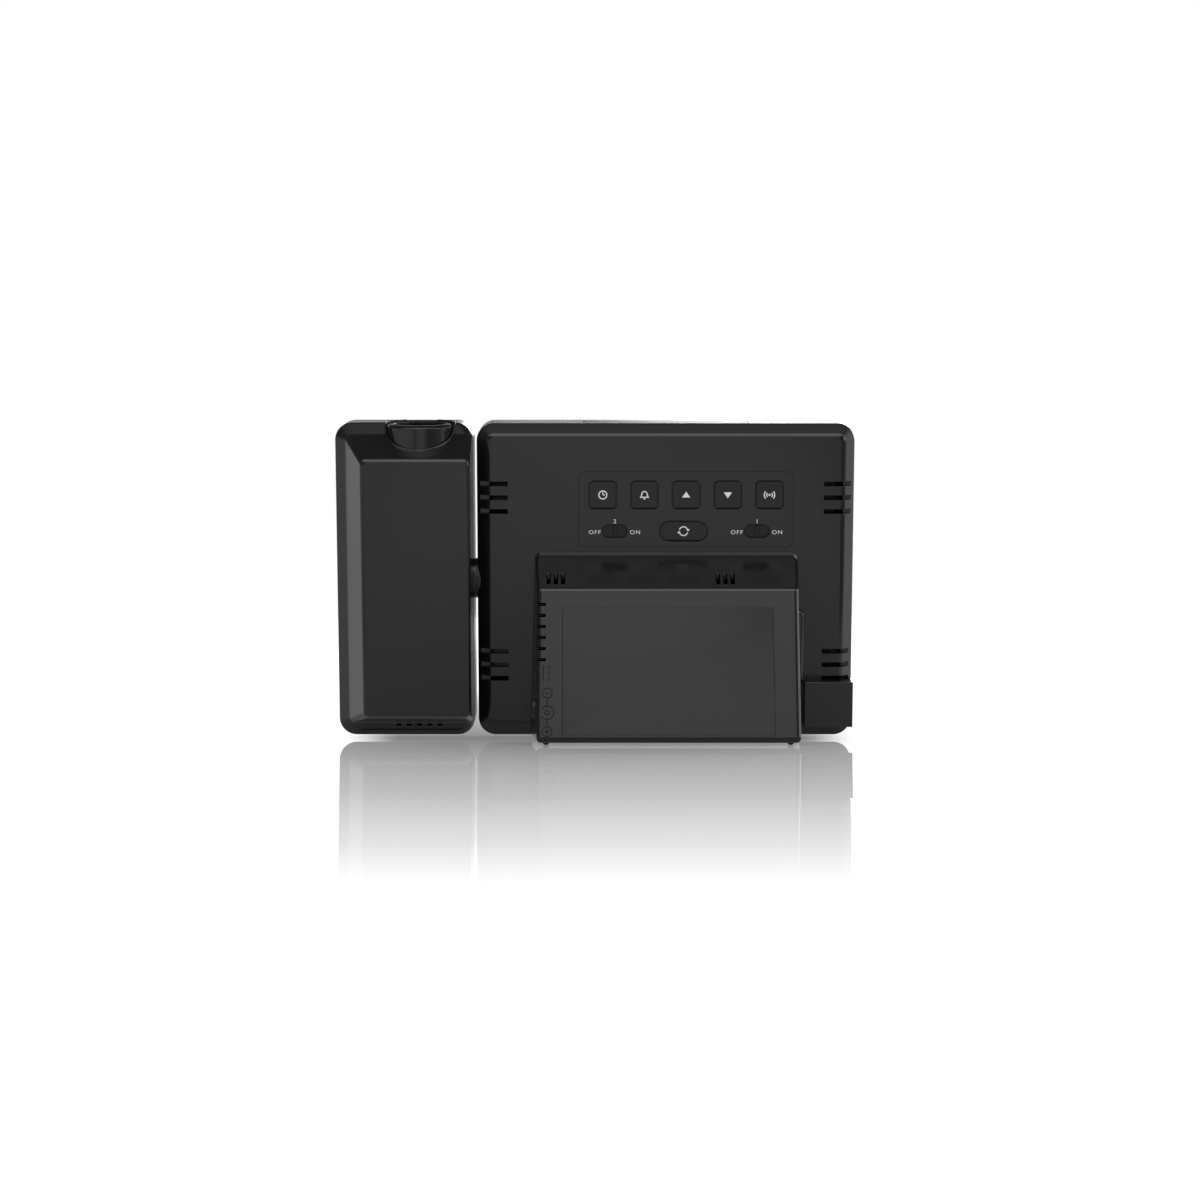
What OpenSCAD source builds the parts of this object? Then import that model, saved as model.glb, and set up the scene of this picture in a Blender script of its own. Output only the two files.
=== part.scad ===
// Projection alarm clock: a leaning case with a display, a projector arm that swivels
// on one side, and a wedge stand that holds the cells, loudspeaker and power socket.
//
// Case frame: x sideways, y back from the front face (0), z up along the case.
// Stand frame: y back from the case's front bottom line, z up from the surface.
// The origin of the whole part is at the middle of its box, on the surface.

/* [Case] */
// Width of the case
case_w = 137.8; // [130:0.1:150]
// Height of the case along its lean
case_h = 116.2; // [114:0.1:124]
// Depth from the front face to the back plane
case_t = 19.4; // [19.4:0.1:22]
// Lean of the case from upright, degrees
lean = 8.5; // [7:0.5:10]
// Radius of the case's and the arm's corners
corner_r = 6.4; // [5.5:0.1:7.5]
// Chamfer round the back plane
back_chamfer = 4.2; // [3.6:0.1:4.4]
// Height of the chamfer along the bottom edge
foot_chamfer = 5.5; // [4.6:0.1:6]
// Small chamfer round the front face
front_edge = 1.0; // [0.5:0.1:1.4]
// Depth of the front frame
front_depth = 3.8; // [3.4:0.1:4]
// Side wall of the rear shell
side_wall = 3.4; // [3:0.1:3.6]
// Top and bottom wall of the rear shell
end_wall = 2.4; // [2:0.1:2.8]
// Back wall of the rear shell
back_wall = 2.0; // [1.8:0.1:2.2]
// Front wall of the front frame
front_wall = 2.6; // [2.4:0.1:2.8]
// Height of the case's lowest edge above the surface
hover = 1.3; // [1.2:0.1:1.6]

/* [Display] */
// Width of the display window
window_w = 122; // [116:0.5:124]
// Height of the display window
window_h = 88; // [80:0.5:94]
// Thickness of the display window
window_t = 1.6; // [1.4:0.1:1.7]
// Visible width of the display
view_w = 104; // [90:0.5:104]
// Visible height of the display
view_h = 70; // [60:0.5:74]
// Thickness of the display glass
glass_t = 2.0; // [1.8:0.1:2.2]
// Thickness of the backlight
backlight_t = 2.6; // [2.2:0.1:2.8]
// Thickness of the circuit board
board_t = 1.6; // [1.4:0.1:1.7]

/* [Keys] */
// Width of the key panel
panel_w = 78.4; // [77:0.1:81]
// Height of the key panel
panel_h = 27.6; // [27.2:0.1:29]
// Thickness of the key panel
panel_t = 1.2; // [1:0.1:1.3]
// Height of the key panel's middle on the case
panel_z = 84.7; // [80:0.1:86]
// Sideways place of the key panel from the case's middle
panel_shift = -7.2; // [-9:0.1:-5]
// Side of a square key
key_size = 10.0; // [9:0.1:10.6]
// Distance between neighbouring square keys
key_pitch = 15.2; // [14.6:0.1:15.4]
// Height of the square keys above the panel's middle
key_rise = 5.4; // [5:0.1:6]
// Drop of the lower row below the panel's middle
lower_drop = 7.9; // [7.5:0.1:8.2]
// Width of the rotate key
rotate_w = 18.0; // [15:0.1:19]
// Height of the rotate key
rotate_h = 7.4; // [6.4:0.1:7.4]
// Distance of each slide switch from the panel's middle
switch_reach = 26.0; // [24:0.1:28]
// Width of a switch opening
switch_w = 9.6; // [9:0.1:10]
// Height of a switch opening
switch_h = 5.2; // [4.8:0.1:5.6]
// How far the keys stand out of the panel
key_proud = 0.5; // [0.3:0.1:0.8]
// Travel of a key
key_travel = 0.6; // [0.4:0.1:0.6]
// Travel of a slide switch to either side
switch_travel = 2.0; // [1.5:0.1:2]
// Gap round a key
key_gap = 0.3; // [0.2:0.05:0.35]

/* [Snooze bar] */
// Length of the snooze bar
snooze_w = 60; // [40:1:70]
// Depth of the snooze bar
snooze_d = 7.2; // [6:0.1:7.4]
// Depth of the snooze bar's middle behind the front face
snooze_y = 9.6; // [9.4:0.1:10]
// How far the snooze bar stands out of the top
snooze_proud = 0.4; // [0.2:0.1:0.6]
// Travel of the snooze bar
snooze_travel = 0.8; // [0.5:0.1:0.8]

/* [Vents] */
// Height of a vent slot
vent_h = 1.7; // [1.2:0.1:2]
// Distance between neighbouring vent slots
vent_pitch = 5.05; // [4.4:0.05:5.2]
// Depth of the vent slots
vent_depth = 3.0; // [2.8:0.1:3.4]
// Distance of the vent slots' outer ends from the case's side
vent_inset = 1.3; // [1:0.1:1.6]
// Length of a vent slot
vent_w = 10.1; // [8:0.1:12]
// Height of the lower vents' middle on the case
vent_low_z = 27.1; // [26.8:0.1:30]
// Height of the upper vents' middle on the case
vent_high_z = 89.0; // [84:0.1:94]

/* [Port block] */
// Width of the port block
port_block_w = 17.2; // [16.8:0.1:18]
// Height of the port block
port_block_h = 16.0; // [16:0.1:16.6]
// How far the port block stands out of the back
port_block_rise = 7.0; // [6.8:0.1:8]
// Height of the port block's foot on the case
port_block_z = 4.8; // [4.4:0.1:5]
// Width of the port's opening
port_w = 12.5; // [12.3:0.1:12.7]
// Height of the port's opening
port_h = 5.1; // [4.9:0.1:5.3]
// Depth of the port
port_depth = 13.4; // [12:0.1:14]

/* [Stand] */
// Height of the stand's base above the surface
stand_base = 1.0; // [0.8:0.1:1.2]
// Distance of the stand's rear edge behind the case's front bottom line
stand_reach = 62.9; // [61:0.1:66]
// Height of the stand's top edge
stand_top = 68.6; // [66:0.1:70]
// Height of the stand's rear face
face_top = 55.5; // [54:0.1:57]
// How far the rear face leans forward over its height
face_lean = 13.3; // [11:0.1:14]
// Half of the stand's width where it meets the case
stand_half = 49.2; // [48.5:0.1:51]
// How much narrower each side gets for each millimetre of depth
stand_draft = 0.075; // [0.05:0.005:0.09]
// Wall of the stand
stand_wall = 2.6; // [2.4:0.1:2.8]
// Width of the battery door
door_w = 75; // [70:0.5:78]
// Height of the battery door
door_h = 46.5; // [44:0.5:47.5]
// Thickness of the battery door
door_t = 1.6; // [1.4:0.1:1.7]
// Gap round the battery door
door_gap = 0.3; // [0.25:0.05:0.4]
// Radius of a cell
cell_r = 7.1; // [7:0.05:7.2]
// Length of a cell
cell_l = 50; // [49.5:0.1:50.5]
// Radius of the loudspeaker
speaker_r = 10; // [9:0.1:10.6]
// Thickness of the loudspeaker
speaker_t = 5; // [4:0.1:6]
// Height of the loudspeaker's middle
speaker_z = 31; // [30:0.5:34]
// Radius of the power socket's bore
jack_bore_r = 2.8; // [2.7:0.05:3]
// Depth of the power socket's bore
jack_depth = 10; // [9:0.1:10.5]
// Distance of the power socket in front of the stand's rear edge
jack_inset = 18.9; // [16:0.1:20]
// Height of the power socket's middle
jack_z = 12.6; // [12:0.1:13]
// Radius of the rubber feet
foot_r = 3.0; // [2.5:0.1:3.2]

/* [Projector arm] */
// Width of the arm
arm_w = 50.4; // [50:0.1:54]
// Gap between the case and the arm
arm_gap = 1.8; // [1.6:0.1:2.2]
// Wall of the arm's shells
arm_wall = 2.2; // [2:0.1:2.4]
// How far the hump stands behind the back plane
hump_rise = 12.9; // [12.5:0.1:14]
// Run of the hump's outer slope
hump_side = 6.8; // [6:0.1:8]
// Run of the hump's top slope
hump_top = 7.6; // [7:0.1:9]
// Run of the hump's bottom slope
hump_foot = 4.8; // [4:0.1:6]
// Bevel along the hump's inner edge
hump_bevel = 2.0; // [1.5:0.1:2.4]
// Depth of the swivel's axis behind the front face
hinge_y = 9.0; // [9:0.1:9.6]
// Radius of the swivel's hollow shaft
shaft_r = 3.5; // [3.2:0.1:3.6]
// Radius of the wire channel through the shaft
channel_r = 2.3; // [2:0.1:2.4]
// Radius of the collars that meet in the gap
collar_r = 7.4; // [6.5:0.1:7.6]
// Radial running clearance of turning and sliding fits
run_gap = 0.06; // [0.03:0.01:0.08]

/* [Projector lens] */
// Distance of the lens axis from the arm's inner side
lens_x = 19.2; // [19:0.1:20]
// Depth of the lens axis behind the front face
lens_y = 15.8; // [15.6:0.1:16.5]
// Radius of the focus ring
ring_r = 12.1; // [11.9:0.1:12.3]
// Height of the focus ring
ring_h = 11.6; // [10.5:0.1:12]
// Depth of the focus ring's top below the arm's top
ring_sink = 0.4; // [0.2:0.1:0.8]
// Gap round the focus ring
ring_gap = 0.9; // [0.7:0.1:1]
// Outer radius of the lens barrel
barrel_r = 11.0; // [10.8:0.1:11.1]
// Wall of the lens barrel
barrel_wall = 1.5; // [1.3:0.1:1.6]
// Height of the barrel's foot on the case
barrel_z = 44; // [43:0.5:46]
// Length of the lens carrier
carrier_h = 24; // [20:0.5:25]
// Travel of the lens carrier to either side
focus_travel = 2.5; // [1.5:0.1:2.5]

/* [Hidden] */

$fn = 64;
hull_fn = 40;      // circles inside hulls
lens_fn = 180;     // optical faces
eps = 0.01;        // overrun of cuts
land = 0.1;        // flat land at a hull's sharp edge
over = 1;          // overrun of cuts through a wall
root = 1;          // depth that a raised feature starts inside its wall
far = 250;         // beyond the whole part
fit = 0.05;        // gap between fixed pieces that slip together
rest_gap = 0.2;    // gap between pieces that move past each other
touch_gap = 0.1;   // gap between stacked pieces

// Places along x
total_w = case_w + arm_gap + arm_w;
case_x0 = -total_w / 2;
case_x1 = case_x0 + case_w;
case_mid = (case_x0 + case_x1) / 2;
arm_x0 = case_x1 + arm_gap;
arm_x1 = arm_x0 + arm_w;

// The case frame in the world
case_rise = hover + (case_t - back_chamfer) * sin(lean);
mid_y = (stand_reach + front_edge * sin(lean)) / 2;
// Depth of the back plane in the stand frame, at a height above the surface
function plane_y(z) = case_t / cos(lean) + (z - case_rise) * tan(lean);

// Colours
shell_grey = [0.20, 0.20, 0.21];
dark_grey = [0.12, 0.12, 0.13];
stand_grey = [0.24, 0.24, 0.25];
board_green = [0.10, 0.32, 0.20];
steel = [0.72, 0.73, 0.75];
clear = [0.75, 0.85, 0.92, 0.45];

// ---------------------------------------------------------------- helpers

module case_frame() {
    translate([0, -mid_y, case_rise]) rotate([-lean, 0, 0]) children();
}

module stand_frame() {
    translate([0, -mid_y, 0]) children();
}

// Extrudes a shape drawn in x and z from depth y0 back to depth y1
module slab(y0, y1) {
    translate([0, y1, 0]) rotate([90, 0, 0]) linear_extrude(y1 - y0) children();
}

module round_rect(x0, x1, z0, z1, r) {
    translate([x0 + r, z0]) square([x1 - x0 - 2 * r, z1 - z0]);
    translate([x0, z0 + r]) square([x1 - x0, z1 - z0 - 2 * r]);
    for (x = [x0 + r, x1 - r], z = [z0 + r, z1 - r]) translate([x, z]) circle(r = r);
}

// A rounded rectangle about a middle point
module round_plate(x, z, w, h, r) {
    round_rect(x - w / 2, x + w / 2, z - h / 2, z + h / 2, r);
}

module stadium(x, z, w, h) {
    translate([x - (w - h) / 2, z - h / 2]) square([w - h, h]);
    for (side = [-1, 1]) translate([x + side * (w - h) / 2, z]) circle(d = h);
}

// Four corner discs, for hulls
module corners(x0, x1, z0, z1, r, y0, y1) {
    slab(y0, y1)
        for (x = [x0 + r, x1 - r], z = [z0 + r, z1 - r])
            translate([x, z]) circle(r = r, $fn = hull_fn);
}

module pin_x(x0, x1, r) {
    translate([x0, 0, 0]) rotate([0, 90, 0]) cylinder(r = r, h = x1 - x0);
}

module pin_y(y0, y1, r) {
    translate([0, y0, 0]) rotate([-90, 0, 0]) cylinder(r = r, h = y1 - y0);
}

module box(x0, x1, y0, y1, z0, z1) {
    translate([x0, y0, z0]) cube([x1 - x0, y1 - y0, z1 - z0]);
}

// ---------------------------------------------------------------- layers in the case

glass_y0 = front_wall + touch_gap;
glass_y1 = glass_y0 + glass_t;
glass_side = 2;      // hidden margin of the display glass at each side
glass_end = 3;       // hidden margin at its top and bottom
glass_r = 0.6;
backlight_y0 = glass_y1 + touch_gap;
backlight_y1 = backlight_y0 + backlight_t;
backlight_foot_l = 2;
backlight_foot_r = 1.5;
backlight_foot_x = view_w / 2 - 12;
backlight_foot_z = view_h / 2 - 5;
board_y0 = backlight_y1 + backlight_foot_l;
board_y1 = board_y0 + board_t;
cavity_y1 = case_t - back_wall;
window_z = case_h / 2;
window_sink = 0.15;
window_r = 4;
view_r = 2;
lip_t = 1.0;
lip_depth = 1.6;
inside_r = 1;        // corners inside the housings

board_side = 7;      // distance of the board from the case's outer side
board_swivel = 18.8; // distance from the swivel's side, where the shaft reaches in
board_top = 9.2;     // distance from the top
board_x0 = case_x0 + board_side;
board_x1 = case_x1 - board_swivel;
board_z0 = 8;
board_z1 = case_h - board_top;
boss_r = 3.0;
boss_inset = 4;
head_t = 1.4;
small_head_r = 2.2;
large_head_r = 2.6;
board_screw_r = 1.2;
screw_play = 0.2;    // gap round a screw that passes through
screw_end = 2;       // distance of a board screw's end from the back wall
board_bosses = [for (x = [board_x0 + boss_inset, board_x1 - boss_inset],
    z = [board_z0 + boss_inset, board_z1 - boss_inset]) [x, z]];

// Long screws that join the two halves, low inside the stand
case_screw_r = 1.3;
case_boss_r = 3.2;
case_boss_drop = 2.9;
case_screw_z = window_z - view_h / 2 - glass_end - case_boss_r - case_boss_drop;
case_screw_reach = 28;
case_screw_x = [case_mid - case_screw_reach, case_mid + case_screw_reach];

// Screws that hold the stand to the case
stand_screw_z = [16, 56];
stand_screw_inset = 5;
stand_screw_reach = stand_half - stand_wall - stand_screw_inset;
stand_boss_l = 7;

module case_outline(gap) {
    round_rect(case_x0 + gap, case_x1 - gap, gap, case_h - gap, corner_r - gap);
}

module case_solid() {
    hull() {
        corners(case_x0, case_x1, 0, case_h, corner_r, front_depth, case_t - back_chamfer);
        corners(case_x0 + back_chamfer, case_x1 - back_chamfer, foot_chamfer,
            case_h - back_chamfer, corner_r - back_chamfer, case_t - land, case_t);
    }
}

cavity_chamfer = 1.8;
module case_cavity() {
    hull() {
        corners(case_x0 + side_wall, case_x1 - side_wall, end_wall, case_h - end_wall,
            corner_r - side_wall, front_depth - 1, cavity_y1 - cavity_chamfer);
        corners(case_x0 + side_wall + cavity_chamfer, case_x1 - side_wall - cavity_chamfer,
            foot_chamfer, case_h - end_wall - cavity_chamfer, inside_r,
            cavity_y1 - land, cavity_y1);
    }
}

// ---------------------------------------------------------------- front half

lip_gap = side_wall + rest_gap;      // outer side of the lip from the case's side
lip_end = end_wall + rest_gap;
swivel_room = 9;     // half of the way through the lip for the swivel
snooze_room = 3;     // spare length of the way through the lip for the snooze bar
snooze_room_h = 8;

module front_frame() color(dark_grey) case_frame() difference() {
    union() {
        difference() {
            union() {
                hull() {
                    corners(case_x0 + front_edge, case_x1 - front_edge, front_edge,
                        case_h - front_edge, corner_r - front_edge, 0, land);
                    corners(case_x0, case_x1, 0, case_h, corner_r, front_edge, front_depth);
                }
                // Lip that locates the rear shell
                slab(front_depth - eps, front_depth + lip_depth)
                    round_rect(case_x0 + lip_gap, case_x1 - lip_gap, lip_end, case_h - lip_end,
                        corner_r - lip_gap);
            }
            // Room for the display stack
            slab(front_wall, case_t)
                round_rect(case_x0 + lip_gap + lip_t, case_x1 - lip_gap - lip_t,
                    lip_end + lip_t, case_h - lip_end - lip_t, inside_r);
            // Seat of the window and the opening behind it
            slab(-eps, window_sink + window_t + fit)
                round_plate(case_mid, window_z, window_w + 2 * rest_gap, window_h + 2 * rest_gap,
                    window_r);
            slab(0, front_wall + eps) round_plate(case_mid, window_z, view_w, view_h, view_r);
            // Ways through the lip for the swivel and the snooze bar
            box(case_x1 - lip_gap - lip_t - over, case_x1 - side_wall + fit, front_depth, case_t,
                hinge_z - swivel_room, hinge_z + swivel_room);
            box(snooze_x - snooze_w / 2 - snooze_room, snooze_x + snooze_w / 2 + snooze_room,
                front_depth, case_t, case_h - snooze_room_h, case_h - end_wall + fit);
        }
        // Case screw bosses stand on the front wall
        for (x = case_screw_x) translate([x, 0, case_screw_z])
            pin_y(front_wall - root / 2, cavity_y1 - rest_gap, case_boss_r);
    }
    for (x = case_screw_x) translate([x, 0, case_screw_z])
        pin_y(front_wall + over, case_t, case_screw_r + fit);
}

module display_window() color(clear) case_frame() slab(window_sink, window_sink + window_t)
    round_plate(case_mid, window_z, window_w, window_h, window_r - rest_gap);

module display_layer(y0, y1) slab(y0, y1)
    round_plate(case_mid, window_z, view_w + 2 * glass_side, view_h + 2 * glass_end, glass_r);

module lcd_panel() color([0.55, 0.62, 0.58]) case_frame() display_layer(glass_y0, glass_y1);

module backlight_panel() color("white") case_frame() {
    display_layer(backlight_y0, backlight_y1);
    // Feet that stand off the circuit board
    for (x = [-1, 1], z = [-1, 1])
        translate([case_mid + x * backlight_foot_x, 0, window_z + z * backlight_foot_z])
            pin_y(backlight_y1 - eps, board_y0 - touch_gap, backlight_foot_r);
}

// ---------------------------------------------------------------- rear shell

port_inset = 0.4;    // distance of the port block from the case's side
port_x0 = case_x0 + port_inset;
port_x1 = port_x0 + port_block_w;
port_y1 = case_t + port_block_rise;
port_shell = 0.35;   // sheet of the port's metal shell
port_cover = 1.4;    // wall of the block behind the port
port_end = 1;        // wall at the port's inner end
socket_y1 = port_y1 - port_cover;
socket_y0 = socket_y1 - port_h - 2 * port_shell;
socket_z0 = port_block_z + (port_block_h - port_w) / 2 - port_shell;
socket_z1 = socket_z0 + port_w + 2 * port_shell;

snooze_x = case_mid;
hinge_z = case_h / 2;
bush_wall = 1.0;
bush_r = shaft_r + run_gap + bush_wall;
wire_hole_z = 30;
wire_hole_r = 5;
way_side = 1.5;      // how far the wire way shows beside the stand
way_w = way_side + stand_wall;
way_x0 = case_mid - stand_half - way_side;
way_z0 = port_block_z + port_block_h - root;
way_z1 = 47;
way_r = 2;
way_rise = 3;
collar_x = case_x1 + (arm_gap - rest_gap) / 2;

module vent_cuts() {
    for (x = [case_x0 + vent_inset, case_x1 - vent_inset - vent_w],
         z = [vent_low_z, vent_high_z], row = [-1:1])
        box(x, x + vent_w, case_t - vent_depth, case_t + over,
            z + row * vent_pitch - vent_h / 2, z + row * vent_pitch + vent_h / 2);
}

module rear_shell() color(shell_grey) case_frame() difference() {
    union() {
        difference() {
            union() {
                case_solid();
                box(port_x0, port_x1, case_t - back_chamfer, port_y1,
                    port_block_z, port_block_z + port_block_h);
                // Collar round the swivel
                translate([0, hinge_y, hinge_z]) pin_x(case_x1 - root, collar_x, collar_r);
                // Raised wire way from the stand to the port block
                slab(case_t - root, case_t + way_rise) {
                    translate([way_x0, way_z0]) square([way_w, way_z1 - way_r - way_z0]);
                    translate([way_x0 + way_r, way_z1 - way_r]) circle(r = way_r);
                    translate([way_x0 + way_r, way_z1 - 2 * way_r])
                        square([way_w - way_r, 2 * way_r]);
                }
            }
            case_cavity();
        }
        // Bosses under the circuit board
        difference() {
            for (place = board_bosses)
                translate([place[0], 0, place[1]]) pin_y(board_y1, cavity_y1 + root, boss_r);
            for (place = board_bosses)
                translate([place[0], 0, place[1]])
                    pin_y(0, cavity_y1 - screw_end / 2, board_screw_r + fit);
        }
    }
    // The front frame takes the swivel's side in front
    box(-far, case_x1, -far, front_depth, -far, far);
    vent_cuts();
    // Seat of the key panel and the opening behind it
    slab(case_t - panel_t - fit, case_t + eps)
        round_plate(panel_x, panel_z, panel_w + 2 * fit, panel_h + 2 * fit, panel_r + fit);
    slab(cavity_y1 - over, case_t) round_plate(panel_x, panel_z, panel_w - 2 * panel_ledge,
        panel_h - 2 * panel_ledge, inside_r);
    // Snooze bar
    box(snooze_x - snooze_w / 2 - key_gap, snooze_x + snooze_w / 2 + key_gap,
        snooze_y - snooze_d / 2 - key_gap, snooze_y + snooze_d / 2 + key_gap,
        case_h - end_wall - over, case_h + over);
    // Swivel bush
    translate([0, hinge_y, hinge_z])
        pin_x(case_x1 - side_wall - over, case_x1 + arm_gap, bush_r + fit);
    // Port
    box(port_x0 - over, port_x0 + port_depth + fit, socket_y0 - fit, socket_y1 + fit,
        socket_z0 - fit, socket_z1 + fit);
    // Screws into the stand, and the long case screws
    for (side = [-1, 1], z = stand_screw_z)
        translate([case_mid + side * stand_screw_reach, 0, z])
            pin_y(cavity_y1 - over, case_t + over, board_screw_r + screw_play);
    for (x = case_screw_x) translate([x, 0, case_screw_z])
        pin_y(cavity_y1 - over, case_t + over, case_screw_r + screw_play);
    // Way for the wires to the stand
    translate([case_mid, 0, wire_hole_z]) pin_y(cavity_y1 - over, case_t + over, wire_hole_r);
}

// ---------------------------------------------------------------- keys

panel_x = case_mid + panel_shift;
panel_r = 2.4;
panel_ledge = 1.2;
panel_y0 = case_t - panel_t;
key_z = panel_z + key_rise;
lower_z = panel_z - lower_drop;
rotate_shift = 0.9;
rotate_x = panel_x + rotate_shift;
key_r = 1.2;
flange_t = 0.8;
flange_w = 0.8;
flange_y1 = panel_y0 - rest_gap;
tact_w = 6;
tact_t = 3.0;
tact_r = 0.3;
tact_button = 0.4;
tact_button_r = 1.6;
stem_r = 1.5;
stem_y0 = board_y1 + tact_t + tact_button + touch_gap + key_travel;

function key_x(place) = panel_x + (2 - place) * key_pitch;
switch_x = [panel_x + switch_reach, panel_x - switch_reach];

module key_panel() color(shell_grey) case_frame() difference() {
    slab(panel_y0, case_t) round_plate(panel_x, panel_z, panel_w, panel_h, panel_r);
    slab(panel_y0 - over, case_t + over) {
        for (place = [0:4])
            round_plate(key_x(place), key_z, key_size + 2 * key_gap, key_size + 2 * key_gap,
                key_r + key_gap);
        stadium(rotate_x, lower_z, rotate_w + 2 * key_gap, rotate_h + 2 * key_gap);
        for (x = switch_x) stadium(x, lower_z, switch_w, switch_h);
    }
}

module square_key(place) color(shell_grey) case_frame() {
    x = key_x(place);
    slab(flange_y1 - eps, case_t + key_proud) round_plate(x, key_z, key_size, key_size, key_r);
    slab(flange_y1 - flange_t, flange_y1)
        round_plate(x, key_z, key_size + 2 * flange_w, key_size + 2 * flange_w, key_r);
    translate([x, 0, key_z]) pin_y(stem_y0, flange_y1 - flange_t + eps, stem_r);
}

module key_time() square_key(0);
module key_alarm() square_key(1);
module key_up() square_key(2);
module key_down() square_key(3);
module key_wave() square_key(4);

module key_rotate() color(shell_grey) case_frame() {
    slab(flange_y1 - eps, case_t + key_proud) stadium(rotate_x, lower_z, rotate_w, rotate_h);
    slab(flange_y1 - flange_t, flange_y1)
        round_plate(rotate_x, lower_z, rotate_w + 2 * flange_w, rotate_h + flange_w, key_r);
    translate([rotate_x, 0, lower_z]) pin_y(stem_y0, flange_y1 - flange_t + eps, stem_r);
}

knob_rib = 1.8;
knob_rib_gap = 0.5;  // gap over and under the rib
knob_stem = 1.6;
knob_lap = 0.4;      // lap of the knob's plate behind the opening
knob_sink = 0.1;
switch_body_w = 9.6;
switch_body_h = 5.0;
switch_body_t = 4.6;
switch_groove = 2.0;
groove_gap = 0.4;
knob_plate_w = switch_w + 2 * (switch_travel + knob_lap);
knob_plate_h = switch_h + 2 * knob_lap;
switch_body_r = 0.4;

module slide_knob(x) color(dark_grey) case_frame() {
    slab(flange_y1 - flange_t, flange_y1)
        round_plate(x, lower_z, knob_plate_w, knob_plate_h, knob_lap);
    slab(flange_y1 - eps, case_t - knob_sink)
        round_plate(x, lower_z, knob_rib, switch_h - 2 * knob_rib_gap, knob_rib / 4);
    slab(board_y1 + switch_body_t - switch_groove + groove_gap, flange_y1 - flange_t + eps)
        round_plate(x, lower_z, knob_stem, knob_stem, knob_stem / 8);
}

module alarm_switch_1() slide_knob(switch_x[1]);
module alarm_switch_2() slide_knob(switch_x[0]);

module slide_switch_bodies() color(steel) case_frame() difference() {
    for (x = switch_x)
        slab(board_y1, board_y1 + switch_body_t)
            round_plate(x, lower_z, switch_body_w, switch_body_h, switch_body_r);
    for (x = switch_x)
        slab(board_y1 + switch_body_t - switch_groove, board_y1 + switch_body_t + over)
            round_plate(x, lower_z, knob_stem + 2 * switch_travel + 2 * groove_gap,
                knob_stem + 2 * groove_gap, tact_r);
}

snooze_flange_z1 = case_h - end_wall - rest_gap;
snooze_flange_x = 1.2;   // lap of the flange at the bar's ends
snooze_flange_y = 0.8;   // lap of the flange along the bar
snooze_tact_z = board_z1 - 1;
snooze_tact_t = 3.6;
snooze_tact_y = board_y1 + snooze_tact_t / 2;
snooze_button_z = snooze_tact_z + tact_t + tact_button;
snooze_stem_r = 1.3;
snooze_stem_z0 = snooze_button_z + touch_gap + snooze_travel;

module snooze_bar() color(shell_grey) case_frame() {
    box(snooze_x - snooze_w / 2, snooze_x + snooze_w / 2,
        snooze_y - snooze_d / 2, snooze_y + snooze_d / 2,
        snooze_flange_z1 - eps, case_h + snooze_proud);
    box(snooze_x - snooze_w / 2 - snooze_flange_x, snooze_x + snooze_w / 2 + snooze_flange_x,
        snooze_y - snooze_d / 2 - snooze_flange_y, snooze_y + snooze_d / 2 + snooze_flange_y,
        snooze_flange_z1 - flange_t, snooze_flange_z1);
    translate([snooze_x, snooze_tact_y, snooze_stem_z0])
        cylinder(r = snooze_stem_r, h = snooze_flange_z1 - flange_t + eps - snooze_stem_z0);
}

module main_board() color(board_green) case_frame() difference() {
    slab(board_y0, board_y1) round_rect(board_x0, board_x1, board_z0, board_z1, inside_r);
    for (place = board_bosses)
        translate([place[0], 0, place[1]]) pin_y(0, case_t, board_screw_r + screw_play);
    for (x = case_screw_x)
        translate([x, 0, case_screw_z]) pin_y(0, case_t, case_boss_r + rest_gap);
}

module tact_switch(x, z) {
    slab(board_y1, board_y1 + tact_t) round_plate(x, z, tact_w, tact_w, tact_r);
    translate([x, 0, z]) pin_y(board_y1 + tact_t - eps, board_y1 + tact_t + tact_button,
        tact_button_r);
}

module tact_switches() color(steel) case_frame() {
    for (place = [0:4]) tact_switch(key_x(place), key_z);
    tact_switch(rotate_x, lower_z);
    // Upright switch under the snooze bar
    box(snooze_x - tact_w / 2, snooze_x + tact_w / 2, board_y1, board_y1 + snooze_tact_t,
        snooze_tact_z - tact_w / 2, snooze_tact_z + tact_t);
    translate([snooze_x, snooze_tact_y, snooze_tact_z + tact_t - eps])
        cylinder(r = snooze_stem_r, h = tact_button + eps);
}

module board_screws() color(steel) case_frame()
    for (place = board_bosses) translate([place[0], 0, place[1]]) {
        pin_y(board_y0 - head_t, board_y0, small_head_r);
        pin_y(board_y0 - eps, cavity_y1 - screw_end, board_screw_r);
    }

module case_screws() color(steel) case_frame()
    for (x = case_screw_x) translate([x, 0, case_screw_z]) {
        pin_y(case_t, case_t + head_t, large_head_r);
        pin_y(front_wall + 2 * over, case_t + eps, case_screw_r);
    }

// ---------------------------------------------------------------- stand

base_edge = 1.8;
top_edge = 1.0;
face_tilt = atan(face_lean / (face_top - stand_base - base_edge));

// Rear face frame: y out of the face, z up along it, from the face's lower edge
module face_frame() {
    stand_frame() translate([0, stand_reach, stand_base + base_edge])
        rotate([face_tilt, 0, 0]) children();
}

// Side view of the stand, drawn in y and z
stand_front = 10;    // inside the case, cut off along its back
module stand_profile() {
    polygon([
        [stand_front, stand_base],
        [stand_reach - base_edge, stand_base],
        [stand_reach, stand_base + base_edge],
        [stand_reach - face_lean, face_top],
        [plane_y(stand_top) + top_edge, stand_top],
        [stand_front, stand_top]
    ]);
}

function side_half(y, gap) = stand_half - gap - stand_draft * (y - plane_y(stand_top));

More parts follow.
